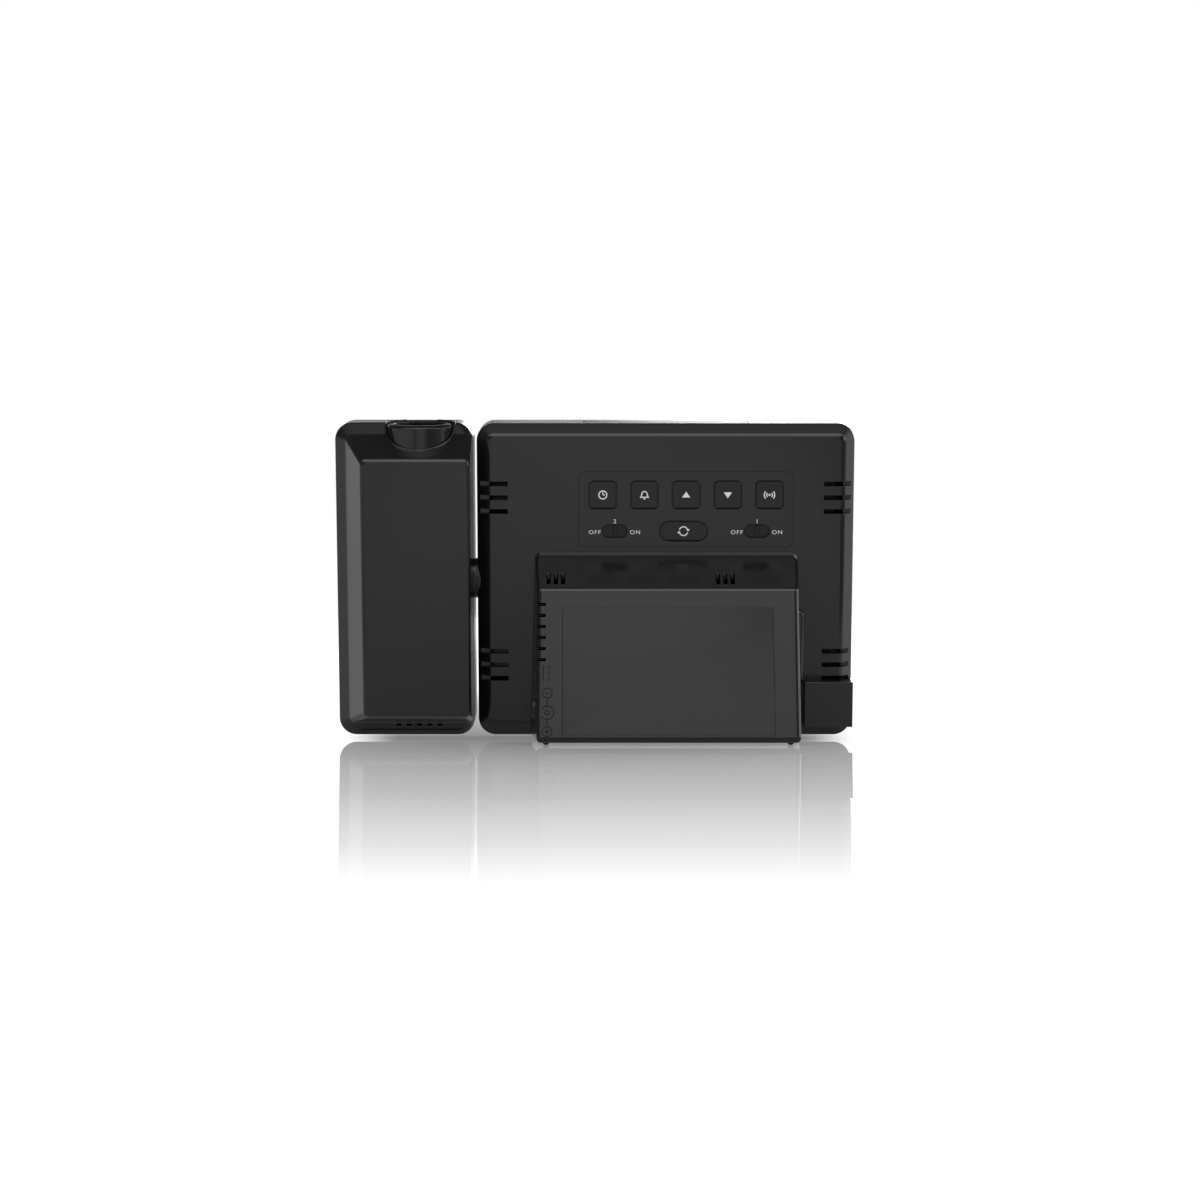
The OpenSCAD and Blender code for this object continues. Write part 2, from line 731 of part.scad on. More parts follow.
module stand_solid(gap) intersection() {
    translate([-far, 0, 0]) rotate([90, 0, 90]) linear_extrude(2 * far)
        offset(delta = -gap) stand_profile();
    linear_extrude(far) polygon([
        for (end = [[0, -1], [0, 1], [far, 1], [far, -1]])
            [case_mid + end[1] * side_half(end[0], gap), end[0]]
    ]);
}

// Depth of the rear face at a height above the surface
function face_y(z) = stand_reach
    - face_lean * (z - stand_base - base_edge) / (face_top - stand_base - base_edge);

door_z0 = 1.0;
door_z1 = door_z0 + door_h;
door_ledge = 2.2;
door_pin_y = -door_t / 2;
door_pin_z = door_z0 + door_t / 2;

cell_gap = 0.4;
cell_pitch = 2 * cell_r + cell_gap;
cell_y = -(stand_wall + cell_gap + cell_r);
cell_z = 12.6;
tray_gap = 0.3;
tray_wall = 1.3;
contact_t = 0.8;
contact_r = cell_r - 1.6;
spring_l = 3.1;      // length left for a contact spring
spring_r = 3.2;
stud_r = 2.4;
tray_half = cell_l / 2 + spring_l + contact_t + tray_wall;
tray_y0 = cell_y - cell_r - tray_gap - tray_wall;

// The loudspeaker stands midway between the case and the rear face
speaker_y = (plane_y(speaker_z) + face_y(speaker_z) - stand_wall / cos(face_tilt)) / 2;
speaker_seat = 0.6;  // height of its seat on the side wall
speaker_x1 = case_mid + side_half(speaker_y + speaker_r, stand_wall) - speaker_seat;
speaker_rim = 1.2;
speaker_back_r = 0.6 * speaker_r;

jack_y = stand_reach - jack_inset;
jack_proud = 0.5;
jack_x1 = case_mid + side_half(jack_y, 0) + jack_proud;
jack_nose_wall = 0.6;
jack_nose_r = jack_bore_r + jack_nose_wall;
jack_body_l = 11.6;
jack_body_w = 9;
jack_body_h = 11;
jack_body_x1 = case_mid + side_half(jack_y + jack_body_w / 2, stand_wall) - rest_gap;
jack_pin_r = 1.0;

slot_w = 1.5;
slot_pitch = 2.6;
slot_l = 6.7;
slot_inset = 5.8;    // distance of the slots' middle from the rear face's top edge
slot_y = stand_reach - face_lean - slot_inset;
slope_slots_x = [case_mid + 40.1, case_mid - 20.9];
side_slot_h = 1.1;
side_slot_pitch = 3.92;
side_slot_z = 40;
side_slot_w = 3.2;   // how far the slots reach in across the rear face
side_slot_l = 5;     // how far they reach forward along the side
stand_screw_boss_r = 3.2;
stand_web_t = 2;     // web between a screw boss and the side wall
foot_inset = 5.8;    // distance of the rear feet from the stand's side at the case
foot_reach = stand_half - foot_inset;
rear_foot_inset = 6.9;
rear_foot_y = stand_reach - rear_foot_inset;
foot_sink = 0.8;
front_foot_y = 5.5;
front_foot_reach = 36;
front_foot_grow = 0.5;

module stand_screw_places() case_frame() for (side = [-1, 1], z = stand_screw_z)
    translate([case_mid + side * stand_screw_reach, 0, z]) children();

// Screw bosses with their webs, which run on through the side wall
module stand_bosses() case_frame() for (side = [0, 1], z = stand_screw_z)
    translate([case_mid, 0, z]) mirror([side, 0, 0]) {
        translate([stand_screw_reach, 0, 0])
            pin_y(case_t, case_t + stand_boss_l, stand_screw_boss_r);
        box(stand_screw_reach, far, case_t, case_t + stand_boss_l,
            -stand_web_t / 2, stand_web_t / 2);
    }

module stand_housing() color(stand_grey) difference() {
    difference() {
        stand_frame() stand_solid(0);
        difference() {
            stand_frame() stand_solid(stand_wall);
            // Rim that holds the loudspeaker
            stand_frame() translate([0, speaker_y, speaker_z])
                pin_x(speaker_x1, far, speaker_r + speaker_rim);
            stand_bosses();
        }
    }
    stand_frame() {
        // Air way of the loudspeaker
        translate([0, speaker_y, speaker_z]) pin_x(speaker_x1 - over,
            case_mid + side_half(speaker_y, stand_wall), speaker_r - speaker_rim);
        // Power socket
        translate([0, jack_y, jack_z]) pin_x(jack_body_x1 - over, far, jack_nose_r + rest_gap);
        // Slots in the slope
        for (middle = slope_slots_x, row = [-1:1])
            box(middle + row * slot_pitch - slot_w / 2, middle + row * slot_pitch + slot_w / 2,
                slot_y - slot_l / 2, slot_y + slot_l / 2, face_top - 2 * stand_wall, stand_top);
        // Slots round the rear corner
        for (row = [0:5]) let (z = side_slot_z + (row - 2.5) * side_slot_pitch)
            box(case_mid + side_half(face_y(z), side_slot_w), far, face_y(z) - side_slot_l, far,
                z - side_slot_h / 2, z + side_slot_h / 2);
        // Seats of the rear feet
        for (side = [-1, 1]) translate([case_mid + side * foot_reach, rear_foot_y, 0])
            cylinder(r = foot_r + fit, h = stand_base + foot_sink);
    }
    // The case leans into the stand, and the wire way enters its side
    case_frame() box(-far, far, -far, case_t, -far, far);
    case_frame() box(way_x0 - over, way_x0 + way_w + fit, 0, case_t + way_rise + fit,
        way_z0 - fit, way_z1 + fit);
    stand_screw_places() pin_y(case_t - over, case_t + stand_boss_l - over, board_screw_r + fit);
    // Battery opening and the door's seat
    face_frame() {
        box(case_mid - door_w / 2 - door_gap, case_mid + door_w / 2 + door_gap,
            -door_t - touch_gap, far, door_z0 - door_gap, door_z1 + door_gap);
        box(case_mid - door_w / 2 + door_ledge, case_mid + door_w / 2 - door_ledge,
            -stand_wall - over, far, door_z0 + door_ledge, door_z1 - door_ledge);
    }
}

module battery_door() color(stand_grey) face_frame() {
    box(case_mid - door_w / 2, case_mid + door_w / 2, -door_t, 0, door_pin_z, door_z1);
    translate([0, door_pin_y, door_pin_z])
        pin_x(case_mid - door_w / 2, case_mid + door_w / 2, door_t / 2);
}

module battery_tray() color(dark_grey) difference() {
    face_frame() difference() {
        box(case_mid - tray_half, case_mid + tray_half, tray_y0, -stand_wall,
            cell_z - cell_r - tray_gap - tray_wall,
            cell_z + 2 * cell_pitch + cell_r + tray_gap + tray_wall);
        // Cells drop in from the door side
        for (row = [0:2]) translate([0, cell_y, cell_z + row * cell_pitch])
            pin_x(case_mid - tray_half + tray_wall, case_mid + tray_half - tray_wall,
                cell_r + tray_gap);
        box(case_mid - tray_half + tray_wall, case_mid + tray_half - tray_wall,
            cell_y + over, over - stand_wall, cell_z - cell_r - tray_gap,
            cell_z + 2 * cell_pitch + cell_r + tray_gap);
    }
    // Flat underside on the stand's floor
    stand_frame() box(-far, far, 0, far, -far, stand_base + stand_wall);
}

module battery_contacts() color(steel) face_frame()
    for (row = [0:2], side = [-1, 1]) translate([case_mid, cell_y, cell_z + row * cell_pitch])
        mirror([side > 0 ? 0 : 1, 0, 0]) {
            plate_x1 = tray_half - tray_wall;
            pin_x(plate_x1 - contact_t, plate_x1, contact_r);
            // A wide plug stands for the spring, and a narrow one for the fixed contact
            pin_x(cell_l / 2 + touch_gap, plate_x1 - contact_t + eps,
                side > 0 ? stud_r : spring_r);
        }

module battery_cells() color([0.25, 0.27, 0.30]) face_frame()
    for (row = [0:2]) translate([0, cell_y, cell_z + row * cell_pitch])
        pin_x(case_mid - cell_l / 2, case_mid + cell_l / 2, cell_r);

module speaker() color(dark_grey) stand_frame() translate([0, speaker_y, speaker_z]) {
    pin_x(speaker_x1 - speaker_t * 0.4, speaker_x1, speaker_r);
    pin_x(speaker_x1 - speaker_t, speaker_x1, speaker_back_r);
}

module dc_jack() color("black") stand_frame() translate([0, jack_y, jack_z]) difference() {
    union() {
        box(jack_body_x1 - jack_body_l, jack_body_x1, -jack_body_w / 2, jack_body_w / 2,
            -jack_body_h / 2, jack_body_h / 2);
        pin_x(jack_body_x1 - eps, jack_x1, jack_nose_r);
    }
    pin_x(jack_x1 - jack_depth, jack_x1 + over, jack_bore_r);
}

module dc_jack_pin() color(steel) stand_frame() translate([0, jack_y, jack_z])
    pin_x(jack_x1 - jack_depth, jack_x1 - 1, jack_pin_r);

module usb_socket() color(steel) case_frame() difference() {
    box(port_x0 + touch_gap, port_x0 + port_depth, socket_y0, socket_y1, socket_z0, socket_z1);
    box(port_x0 - over, port_x0 + port_depth - port_end, socket_y0 + port_shell,
        socket_y1 - port_shell, socket_z0 + port_shell, socket_z1 - port_shell);
}

tongue_t = 1.8;
tongue_gap = 0.3;
tongue_sink = 2;
module usb_tongue() color("white") case_frame()
    box(port_x0 + tongue_sink, port_x0 + port_depth - port_end,
        socket_y1 - port_shell - tongue_gap - tongue_t, socket_y1 - port_shell - tongue_gap,
        socket_z0 + 2 * port_shell + tongue_gap, socket_z1 - 2 * port_shell - tongue_gap);

module rear_feet() color("black") stand_frame() for (side = [-1, 1])
    translate([case_mid + side * foot_reach, rear_foot_y, 0])
        cylinder(r = foot_r, h = stand_base + foot_sink - fit);

module front_feet() color("black") difference() {
    stand_frame() for (side = [-1, 1])
        translate([case_mid + side * front_foot_reach, front_foot_y, 0])
            cylinder(r = foot_r + front_foot_grow, h = case_rise + over);
    case_frame() box(-far, far, -far, far, 0, far);
}

module stand_screws() color(steel) stand_screw_places() {
    pin_y(cavity_y1 - head_t, cavity_y1, large_head_r);
    pin_y(cavity_y1 - eps, case_t + stand_boss_l - 2 * over, board_screw_r);
}

// ---------------------------------------------------------------- swivel

// Stack along the shaft, from the arm inwards
shaft_flange_r = 6.8;
shaft_flange_t = 1.5;
shaft_tail = 1.4;    // end of the shaft past its flange
shaft_end = 2.4;     // end of the shaft past the retaining ring's outer side
bush_flange_t = 1.0;
bush_flange_w = 0.6;
washer_t = 1.1;
washer_lap = 0.4;
clip_t = 1.0;
clip_lap = 0.2;
clip_groove = 0.6;
bush_x0 = case_x1 - side_wall - bush_flange_t;
washer_x1 = bush_x0 - touch_gap;
washer_x0 = washer_x1 - washer_t;
clip_x1 = washer_x0 - touch_gap;
clip_x0 = clip_x1 - clip_t;
shaft_x0 = clip_x1 - shaft_end;
shaft_x1 = arm_x0 + arm_wall + shaft_flange_t + shaft_tail;
wire_gap = 0.3;
wire_tail_in = 6;    // length of the leads past the shaft in the case
wire_tail_out = 2;   // and in the arm

module at_hinge() case_frame() translate([0, hinge_y, hinge_z]) children();

module hinge_bush() color("ivory") at_hinge() difference() {
    union() {
        pin_x(bush_x0, case_x1 - side_wall, bush_r + bush_flange_w);
        pin_x(case_x1 - side_wall - eps, collar_x, bush_r);
    }
    pin_x(bush_x0 - over, collar_x + over, shaft_r + run_gap);
}

module hinge_shaft() color(steel) at_hinge() difference() {
    union() {
        pin_x(shaft_x0, shaft_x1, shaft_r);
        pin_x(arm_x0 + arm_wall, arm_x0 + arm_wall + shaft_flange_t, shaft_flange_r);
    }
    pin_x(shaft_x0 - over, shaft_x1 + over, channel_r);
    // Groove of the retaining ring
    difference() {
        pin_x(clip_x0 - fit, clip_x1 + fit, shaft_r + over);
        pin_x(clip_x0 - over, clip_x1 + over, shaft_r - clip_groove);
    }
}

module spring_washer() color(steel) at_hinge() difference() {
    pin_x(washer_x0, washer_x1, bush_r + washer_lap);
    pin_x(washer_x0 - over, washer_x1 + over, shaft_r + fit);
}

module retaining_ring() color(steel) at_hinge() difference() {
    pin_x(clip_x0, clip_x1, bush_r + clip_lap);
    pin_x(clip_x0 - over, clip_x1 + over, shaft_r - clip_groove + fit);
}

module hinge_wires() color([0.6, 0.1, 0.1]) at_hinge()
    pin_x(shaft_x0 - wire_tail_in, shaft_x1 + wire_tail_out, channel_r - wire_gap);

// ---------------------------------------------------------------- projector arm

inner_bevel = 1.0;
slope_r = corner_r - back_chamfer;
hump_y1 = case_t + hump_rise;
lens_px = arm_x0 + lens_x;
ring_z1 = case_h - ring_sink;
ring_z0 = ring_z1 - ring_h;
well_r = ring_r + ring_gap;
well_floor = 1.2;
well_wall = 1.2;
shelf_t = 2.0;
shelf_step = 28;     // distance between the two shelves
shelf_z = [barrel_z, barrel_z + shelf_step];
hump_lift = 0.85;    // share of the end slopes reached where the inner bevel begins
bend_in = 0.9;       // how far the cavity's chamfer stays inside the outer one
bend_step = 1.5;     // further inset of the passage into the hump
hump_in = 1.2;       // inset of the cavity at the hump's back

module arm_solid() {
    hull() {
        corners(arm_x0, arm_x1, 0, case_h, corner_r, front_depth, case_t - back_chamfer);
        corners(arm_x0 + inner_bevel, arm_x1 - back_chamfer, foot_chamfer,
            case_h - back_chamfer, slope_r, case_t - land, case_t);
    }
    hull() {
        corners(arm_x0, arm_x1 - back_chamfer, foot_chamfer, case_h - back_chamfer,
            slope_r, case_t - back_chamfer, case_t);
        corners(arm_x0, arm_x0 + arm_w / 2, foot_chamfer + hump_foot * hump_lift,
            case_h - back_chamfer - hump_top * hump_lift, slope_r,
            hump_y1 - hump_bevel - land, hump_y1 - hump_bevel);
        corners(arm_x0 + hump_bevel, arm_x1 - back_chamfer - hump_side,
            foot_chamfer + hump_foot, case_h - back_chamfer - hump_top, slope_r,
            hump_y1 - land, hump_y1);
    }
}

module arm_cavity() {
    hull() {
        corners(arm_x0 + arm_wall, arm_x1 - arm_wall, arm_wall, case_h - arm_wall,
            corner_r - arm_wall, front_depth - over, case_t - back_chamfer - bend_in);
        corners(arm_x0 + arm_wall, arm_x1 - back_chamfer - bend_in, foot_chamfer + bend_in,
            case_h - back_chamfer - bend_in, inside_r, case_t - arm_wall - land,
            case_t - arm_wall);
    }
    hull() {
        corners(arm_x0 + arm_wall, arm_x1 - back_chamfer - bend_in - bend_step,
            foot_chamfer + bend_in + bend_step, case_h - back_chamfer - bend_in - bend_step,
            inside_r, case_t - arm_wall - over, case_t - over);
        corners(arm_x0 + arm_wall + hump_bevel / 2, arm_x1 - back_chamfer - hump_side - hump_in,
            foot_chamfer + hump_foot + hump_in, case_h - back_chamfer - hump_top - hump_in,
            inside_r, hump_y1 - arm_wall - land, hump_y1 - arm_wall);
    }
}

module at_lens() translate([lens_px, lens_y, 0]) children();

lamp_screw_reach = 14;
lamp_screw_half = 5;
lamp_screw_r = 1.1;
lamp_screw_l = 1.2;  // length of a lamp screw in the shelf
lamp_screw_x = lens_px + lamp_screw_reach;
lamp_screw_y = [lens_y - lamp_screw_half, lens_y + lamp_screw_half];
bottom_slots = 5;
bottom_slot_pitch = 3.8;
bottom_slot_w = 2.0;
bottom_slot_h = 1.0;
bottom_slot_l = 6;
bottom_slot_shift = 1.2;
bottom_slot_z = 4.5;
bottom_slot_y = case_t - 2.5;

module arm_rear_shell() color(shell_grey) case_frame() difference() {
    union() {
        difference() {
            arm_solid();
            difference() {
                arm_cavity();
                // Wall of the well round the focus ring
                at_lens() translate([0, 0, ring_z0 - rest_gap - well_floor])
                    cylinder(r = well_r + well_wall, h = case_h);
                // Shelves that carry the lens barrel
                for (z = shelf_z) box(arm_x0, arm_x1, 0, far, z, z + shelf_t);
            }
        }
        translate([0, hinge_y, hinge_z])
            pin_x(arm_x0 - (arm_gap - rest_gap) / 2, arm_x0 + root, collar_r);
    }
    // Well of the focus ring, and the bore for the barrel
    at_lens() translate([0, 0, ring_z0 - rest_gap]) cylinder(r = well_r, h = case_h);
    at_lens() translate([0, 0, barrel_z - over]) cylinder(r = barrel_r + fit, h = case_h);
    translate([0, hinge_y, hinge_z])
        pin_x(arm_x0 - arm_gap, arm_x0 + arm_wall + over, shaft_r + fit);
    // The front shell takes the swivel's side in front
    box(arm_x0, far, -far, front_depth, -far, far);
    for (y = lamp_screw_y) translate([lamp_screw_x, y, barrel_z - over])
        cylinder(r = lamp_screw_r + fit, h = over + lamp_screw_l + rest_gap);
    // Air slots in the lower bevel
    for (place = [0:bottom_slots - 1]) translate([
        lens_px + bottom_slot_shift + (place - (bottom_slots - 1) / 2) * bottom_slot_pitch,
        bottom_slot_y, bottom_slot_z])
        cube([bottom_slot_w, bottom_slot_l, bottom_slot_h], center = true);
}

module arm_front_shell() color(dark_grey) case_frame() difference() {
    hull() {
        corners(arm_x0 + front_edge, arm_x1 - front_edge, front_edge, case_h - front_edge,
            corner_r - front_edge, 0, land);
        corners(arm_x0, arm_x1, 0, case_h, corner_r, front_edge, front_depth);
    }
    slab(arm_wall, case_t) round_rect(arm_x0 + arm_wall, arm_x1 - arm_wall, arm_wall,
        case_h - arm_wall, corner_r - arm_wall);
    at_lens() translate([0, 0, ring_z0 - rest_gap]) cylinder(r = well_r, h = case_h);
}

ring_neck = 4;       // height of the ring that turns round the barrel

module focus_ring() color("black") case_frame() at_lens() difference() {
    translate([0, 0, ring_z0]) cylinder(r = ring_r, h = ring_h);
    translate([0, 0, ring_z0 - over])
        cylinder(r = barrel_r + run_gap, h = over + ring_neck + rest_gap);
    translate([0, 0, ring_z0]) cylinder(r = barrel_r - barrel_wall, h = ring_h + over);
}

module lens_barrel() color(dark_grey) case_frame() at_lens() difference() {
    translate([0, 0, barrel_z]) cylinder(r = barrel_r, h = ring_z0 + ring_neck - barrel_z);
    translate([0, 0, barrel_z - over]) cylinder(r = barrel_r - barrel_wall, h = case_h);
}

carrier_sink = 5.4;  // depth of the lens carrier below the ring's top
carrier_r = barrel_r - barrel_wall - run_gap;
carrier_z1 = ring_z1 - carrier_sink;
carrier_z0 = carrier_z1 - carrier_h;
lens_rim = 1.24;     // wall of the carrier round the lens
lens_ledge = 0.8;
lens_r = carrier_r - lens_rim;
lens_seat = 5.6;
lens_t = 4.6;
lens_curve = 24;

module lens_carrier() color("black") case_frame() at_lens() difference() {
    translate([0, 0, carrier_z0]) cylinder(r = carrier_r, h = carrier_h);
    translate([0, 0, carrier_z0 - over]) cylinder(r = lens_r - lens_ledge, h = carrier_h + 2 * over);
    translate([0, 0, carrier_z1 - lens_seat]) cylinder(r = lens_r + fit, h = lens_seat + over);
}

// A lens with two curved faces
module round_lens(r, curve, z, thickness) translate([0, 0, z]) intersection() {
    cylinder(r = r, h = thickness, $fn = lens_fn);
    translate([0, 0, thickness - curve]) sphere(r = curve, $fn = lens_fn);
    translate([0, 0, curve]) sphere(r = curve, $fn = lens_fn);
}

module projection_lens() color(clear) case_frame() at_lens()
    round_lens(lens_r, lens_curve, carrier_z1 - lens_seat, lens_t);

image_rise = 20;     // height of the image panel above the barrel's foot
image_t = 1.6;
condenser_t = 5;
condenser_curve = 20;
condenser_gap = 3;   // gap between the condenser lens and the image panel
image_z = barrel_z + image_rise;
stack_r = barrel_r - barrel_wall - fit;

module image_panel() color([0.5, 0.6, 0.7]) case_frame() at_lens()
    translate([0, 0, image_z]) cylinder(r = stack_r, h = image_t);

module condenser_lens() color(clear) case_frame() at_lens()
    round_lens(stack_r, condenser_curve, image_z - condenser_gap - condenser_t, condenser_t);

lamp_board_x0 = lens_px - 11.6;
lamp_board_x1 = lamp_screw_x + 3;
lamp_board_half = 9;
led_base_r = 3.2;
led_base_t = 1.2;
led_dome_r = 2.2;

module lamp_board() color(board_green) case_frame() difference() {
    union() {
        box(lamp_board_x0, lamp_board_x1, lens_y - lamp_board_half, lens_y + lamp_board_half,
            barrel_z - board_t, barrel_z);
        at_lens() translate([0, 0, barrel_z - eps]) cylinder(r = led_base_r, h = led_base_t);
        at_lens() translate([0, 0, barrel_z + led_base_t - rest_gap]) intersection() {
            sphere(r = led_dome_r);
            cylinder(r = led_base_r, h = led_base_r);
        }
    }
    for (y = lamp_screw_y) translate([lamp_screw_x, y, barrel_z - board_t - over])
        cylinder(r = lamp_screw_r + screw_play, h = board_t + 2 * over);
}

module lamp_screws() color(steel) case_frame() for (y = lamp_screw_y)
    translate([lamp_screw_x, y, barrel_z - board_t]) {
        translate([0, 0, -head_t]) cylinder(r = small_head_r, h = head_t);
        translate([0, 0, -eps]) cylinder(r = lamp_screw_r, h = board_t + lamp_screw_l);
    }

// ---------------------------------------------------------------- nodes

front_frame();
display_window();
lcd_panel();
backlight_panel();
rear_shell();
key_panel();
key_time();
key_alarm();
key_up();
key_down();
key_wave();
key_rotate();
alarm_switch_1();
alarm_switch_2();
slide_switch_bodies();
snooze_bar();
main_board();
tact_switches();
board_screws();
case_screws();
stand_housing();
stand_screws();
battery_door();
battery_tray();
battery_contacts();
battery_cells();
speaker();
dc_jack();
dc_jack_pin();
usb_socket();
usb_tongue();
rear_feet();
front_feet();
hinge_bush();
hinge_shaft();
spring_washer();
retaining_ring();
hinge_wires();
arm_front_shell();
arm_rear_shell();
lens_barrel();
lens_carrier();
projection_lens();
focus_ring();
image_panel();
condenser_lens();
lamp_board();
lamp_screws();
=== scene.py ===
"""Projection alarm clock: the finish of every piece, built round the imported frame.

The case leans back on a wedge stand, and a projector arm turns on one side of it.
Pieces are shaped in millimetres, in one of three frames that match the construction:
CASE follows the lean of the case, STAND is upright, and FACE lies on the stand's rear face.
"""
import math

import bmesh
import bpy
from mathutils import Matrix, Vector


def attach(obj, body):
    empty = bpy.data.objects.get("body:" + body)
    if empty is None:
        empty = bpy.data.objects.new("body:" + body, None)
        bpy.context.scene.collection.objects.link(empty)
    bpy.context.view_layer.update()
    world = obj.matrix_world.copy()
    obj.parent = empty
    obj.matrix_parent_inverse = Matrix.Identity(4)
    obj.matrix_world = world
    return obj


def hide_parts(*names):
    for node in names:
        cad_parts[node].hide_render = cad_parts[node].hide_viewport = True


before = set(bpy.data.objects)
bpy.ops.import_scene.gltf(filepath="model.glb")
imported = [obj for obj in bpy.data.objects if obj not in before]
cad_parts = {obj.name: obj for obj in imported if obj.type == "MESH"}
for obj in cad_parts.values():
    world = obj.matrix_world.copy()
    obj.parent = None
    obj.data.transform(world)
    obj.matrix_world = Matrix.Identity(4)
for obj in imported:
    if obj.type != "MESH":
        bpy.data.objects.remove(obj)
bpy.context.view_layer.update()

# ---------------------------------------------------------------- sizes, millimetres

MM = 0.001

# Case
LEAN = math.radians(8.5)
HOVER = 1.3
CASE_T = 19.4
CORNER_R = 6.4
BACK_CHAMFER = 4.2
FOOT_CHAMFER = 5.5
FRONT_DEPTH = 3.8
FRONT_EDGE = 1.0
TOP_DRAFT, ARM_DRAFT, SIDE_DRAFT = 0.3, 0.02, 0.25
SIDE_SHIFT = 0.45                # how far the case's side towards the arm moves out
SIDE_WALL = 3.4
END_WALL = 2.4
BACK_WALL = 2.0
FRONT_WALL = 2.6
CAVITY_CHAMFER = 1.8
WINDOW_R = 4.0
NEAR = 0.01                      # what still counts as lying in a plane

# Fillets, as the distance that each takes off its two faces
BACK_SOFT = 1.15
SIDE_SOFT = 0.5
PARTING_SOFT = 0.22
SLOT_SOFT = 0.12
KEY_SOFT = 0.1
WINDOW_SOFT = 0.15
PANEL_SOFT = 0.06

# Stand
STAND_BASE = 0.9
STAND_REACH = 62.9
STAND_TOP = 69.05
FACE_TOP = 55.5
FACE_LEAN = 13.3
STAND_HALF = 49.2
STAND_DRAFT = 0.075
STAND_TAPER = 0.016
STAND_WALL = 2.6
BASE_EDGE = 1.8
TOP_EDGE = 1.0

# Swivel and arm
HINGE_Y = 9.0
COLLAR_R = 7.4
ARM_WALL = 2.2
HUMP_RISE = 13.6
HUMP_SIDE = 6.8
HUMP_TOP = 8.1
HUMP_FOOT = 4.8
WELL_R, BEAD_W, BEAD_RISE = 12.4, 0.65, (0, 0.75, 0.35)

# ---------------------------------------------------------------- the three frames

CASE_RISE = HOVER + (CASE_T - BACK_CHAMFER) * math.sin(LEAN)
MID_Y = (STAND_REACH + FRONT_EDGE * math.sin(LEAN)) / 2
FACE_TILT = math.atan(FACE_LEAN / (FACE_TOP - STAND_BASE - BASE_EDGE))
CASE = Matrix.Translation((0, -MID_Y, CASE_RISE)) @ Matrix.Rotation(-LEAN, 4, "X")
STAND = Matrix.Translation((0, -MID_Y, 0))
FACE = (STAND @ Matrix.Translation((0, STAND_REACH, STAND_BASE + BASE_EDGE))
        @ Matrix.Rotation(FACE_TILT, 4, "X"))


def local_box(node, place):
    """Lowest and highest corner of a node in one of the frames, in millimetres."""
    back = place.inverted()
    points = [back @ (v.co / MM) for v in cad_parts[node].data.vertices]
    return (Vector([min(axis) for axis in zip(*points)]),
            Vector([max(axis) for axis in zip(*points)]))


CASE_LOW, CASE_HIGH = local_box("front_frame", CASE)
ARM_LOW, ARM_HIGH = local_box("arm_front_shell", CASE)
CASE_H = CASE_HIGH.z
CASE_SIDE = CASE_HIGH.x + SIDE_SHIFT
CASE_MID = (CASE_LOW.x + CASE_HIGH.x) / 2
HINGE_Z = CASE_H / 2
SIDE, DEPTH, UP = 0, 1, 2        # axes of the frames


def plane_y(z):
    """Depth of the case's back plane in the stand's frame, at a height."""
    return CASE_T / math.cos(LEAN) + (z - CASE_RISE) * math.tan(LEAN)


def side_half(y, z, wall=0):
    """Half width of the stand at a depth and height, less its wall."""
    return STAND_HALF - wall - STAND_DRAFT * (y - plane_y(STAND_TOP)) - STAND_TAPER * z


def face_y(z):
    """Depth of the stand's rear face at a height."""
    return STAND_REACH - math.tan(FACE_TILT) * (z - STAND_BASE - BASE_EDGE)


# ---------------------------------------------------------------- shaping

BENT = math.radians(5)           # least angle between faces that counts as an edge
MERGE = 1e-4                     # points that lie closer become one


def bevel(bm, edges, width, segments):
    """Rounds or chamfers edges by a width on each of their faces."""
    bmesh.ops.bevel(bm, geom=edges, offset=width, offset_type="OFFSET", segments=segments,
                    profile=0.5, affect="EDGES", material=-1, clamp_overlap=False)


def edges_along(bm, axis):
    """Straight edges that run along an axis."""
    return [e for e in bm.edges
            if abs(e.verts[0].co[axis] - e.verts[1].co[axis]) > 0.999 * e.calc_length()]


def edges_at(bm, axis, value):
    """Edges that lie in a plane across an axis, where the surface bends."""
    return [e for e in bm.edges if all(abs(v.co[axis] - value) < NEAR for v in e.verts)
            and e.calc_face_angle(0) > BENT]


def sharp_edges(bm, where, angle=50):
    """Outward edges sharper than an angle, at the places that where() accepts."""
    return [e for e in bm.edges if e.is_manifold
            and e.calc_face_angle_signed(0) > math.radians(angle)
            and where((e.verts[0].co + e.verts[1].co) / 2)]


def rear_face(bm):
    """The face that lies furthest back."""
    return max(bm.faces, key=lambda f: f.calc_center_median()[DEPTH])


def block(low, high, radius=0, segments=12, axis=DEPTH):
    """A box whose four edges along one axis are rounded."""
    low, high = Vector(low), Vector(high)
    bm = bmesh.new()
    bmesh.ops.create_cube(bm, size=1)
    bmesh.ops.scale(bm, vec=high - low, verts=bm.verts)
    bmesh.ops.translate(bm, vec=(low + high) / 2, verts=bm.verts)
    if radius:
        bevel(bm, edges_along(bm, axis), radius, segments)
    return bm


def plate(x, z, width, height, y0, y1, radius=0, segments=8):
    """A flat block about a middle point, rounded in the front view."""
    half = Vector((width / 2, 0, height / 2))
    return block(Vector((x, y0, z)) - half, Vector((x, y1, z)) + half, radius, segments)


def rod(radius, start, end, axis, segments=64):
    """A cylinder along one axis, from start to end."""
    start, end = Vector(start), Vector(end)
    turn = {SIDE: Matrix.Rotation(math.pi / 2, 4, "Y"),
            DEPTH: Matrix.Rotation(-math.pi / 2, 4, "X"),
            UP: Matrix.Identity(4)}[axis]
    bm = bmesh.new()
    bmesh.ops.create_cone(bm, cap_ends=True, segments=segments, radius1=radius, radius2=radius,
                          depth=(end - start).length,
                          matrix=Matrix.Translation((start + end) / 2) @ turn)
    return bm


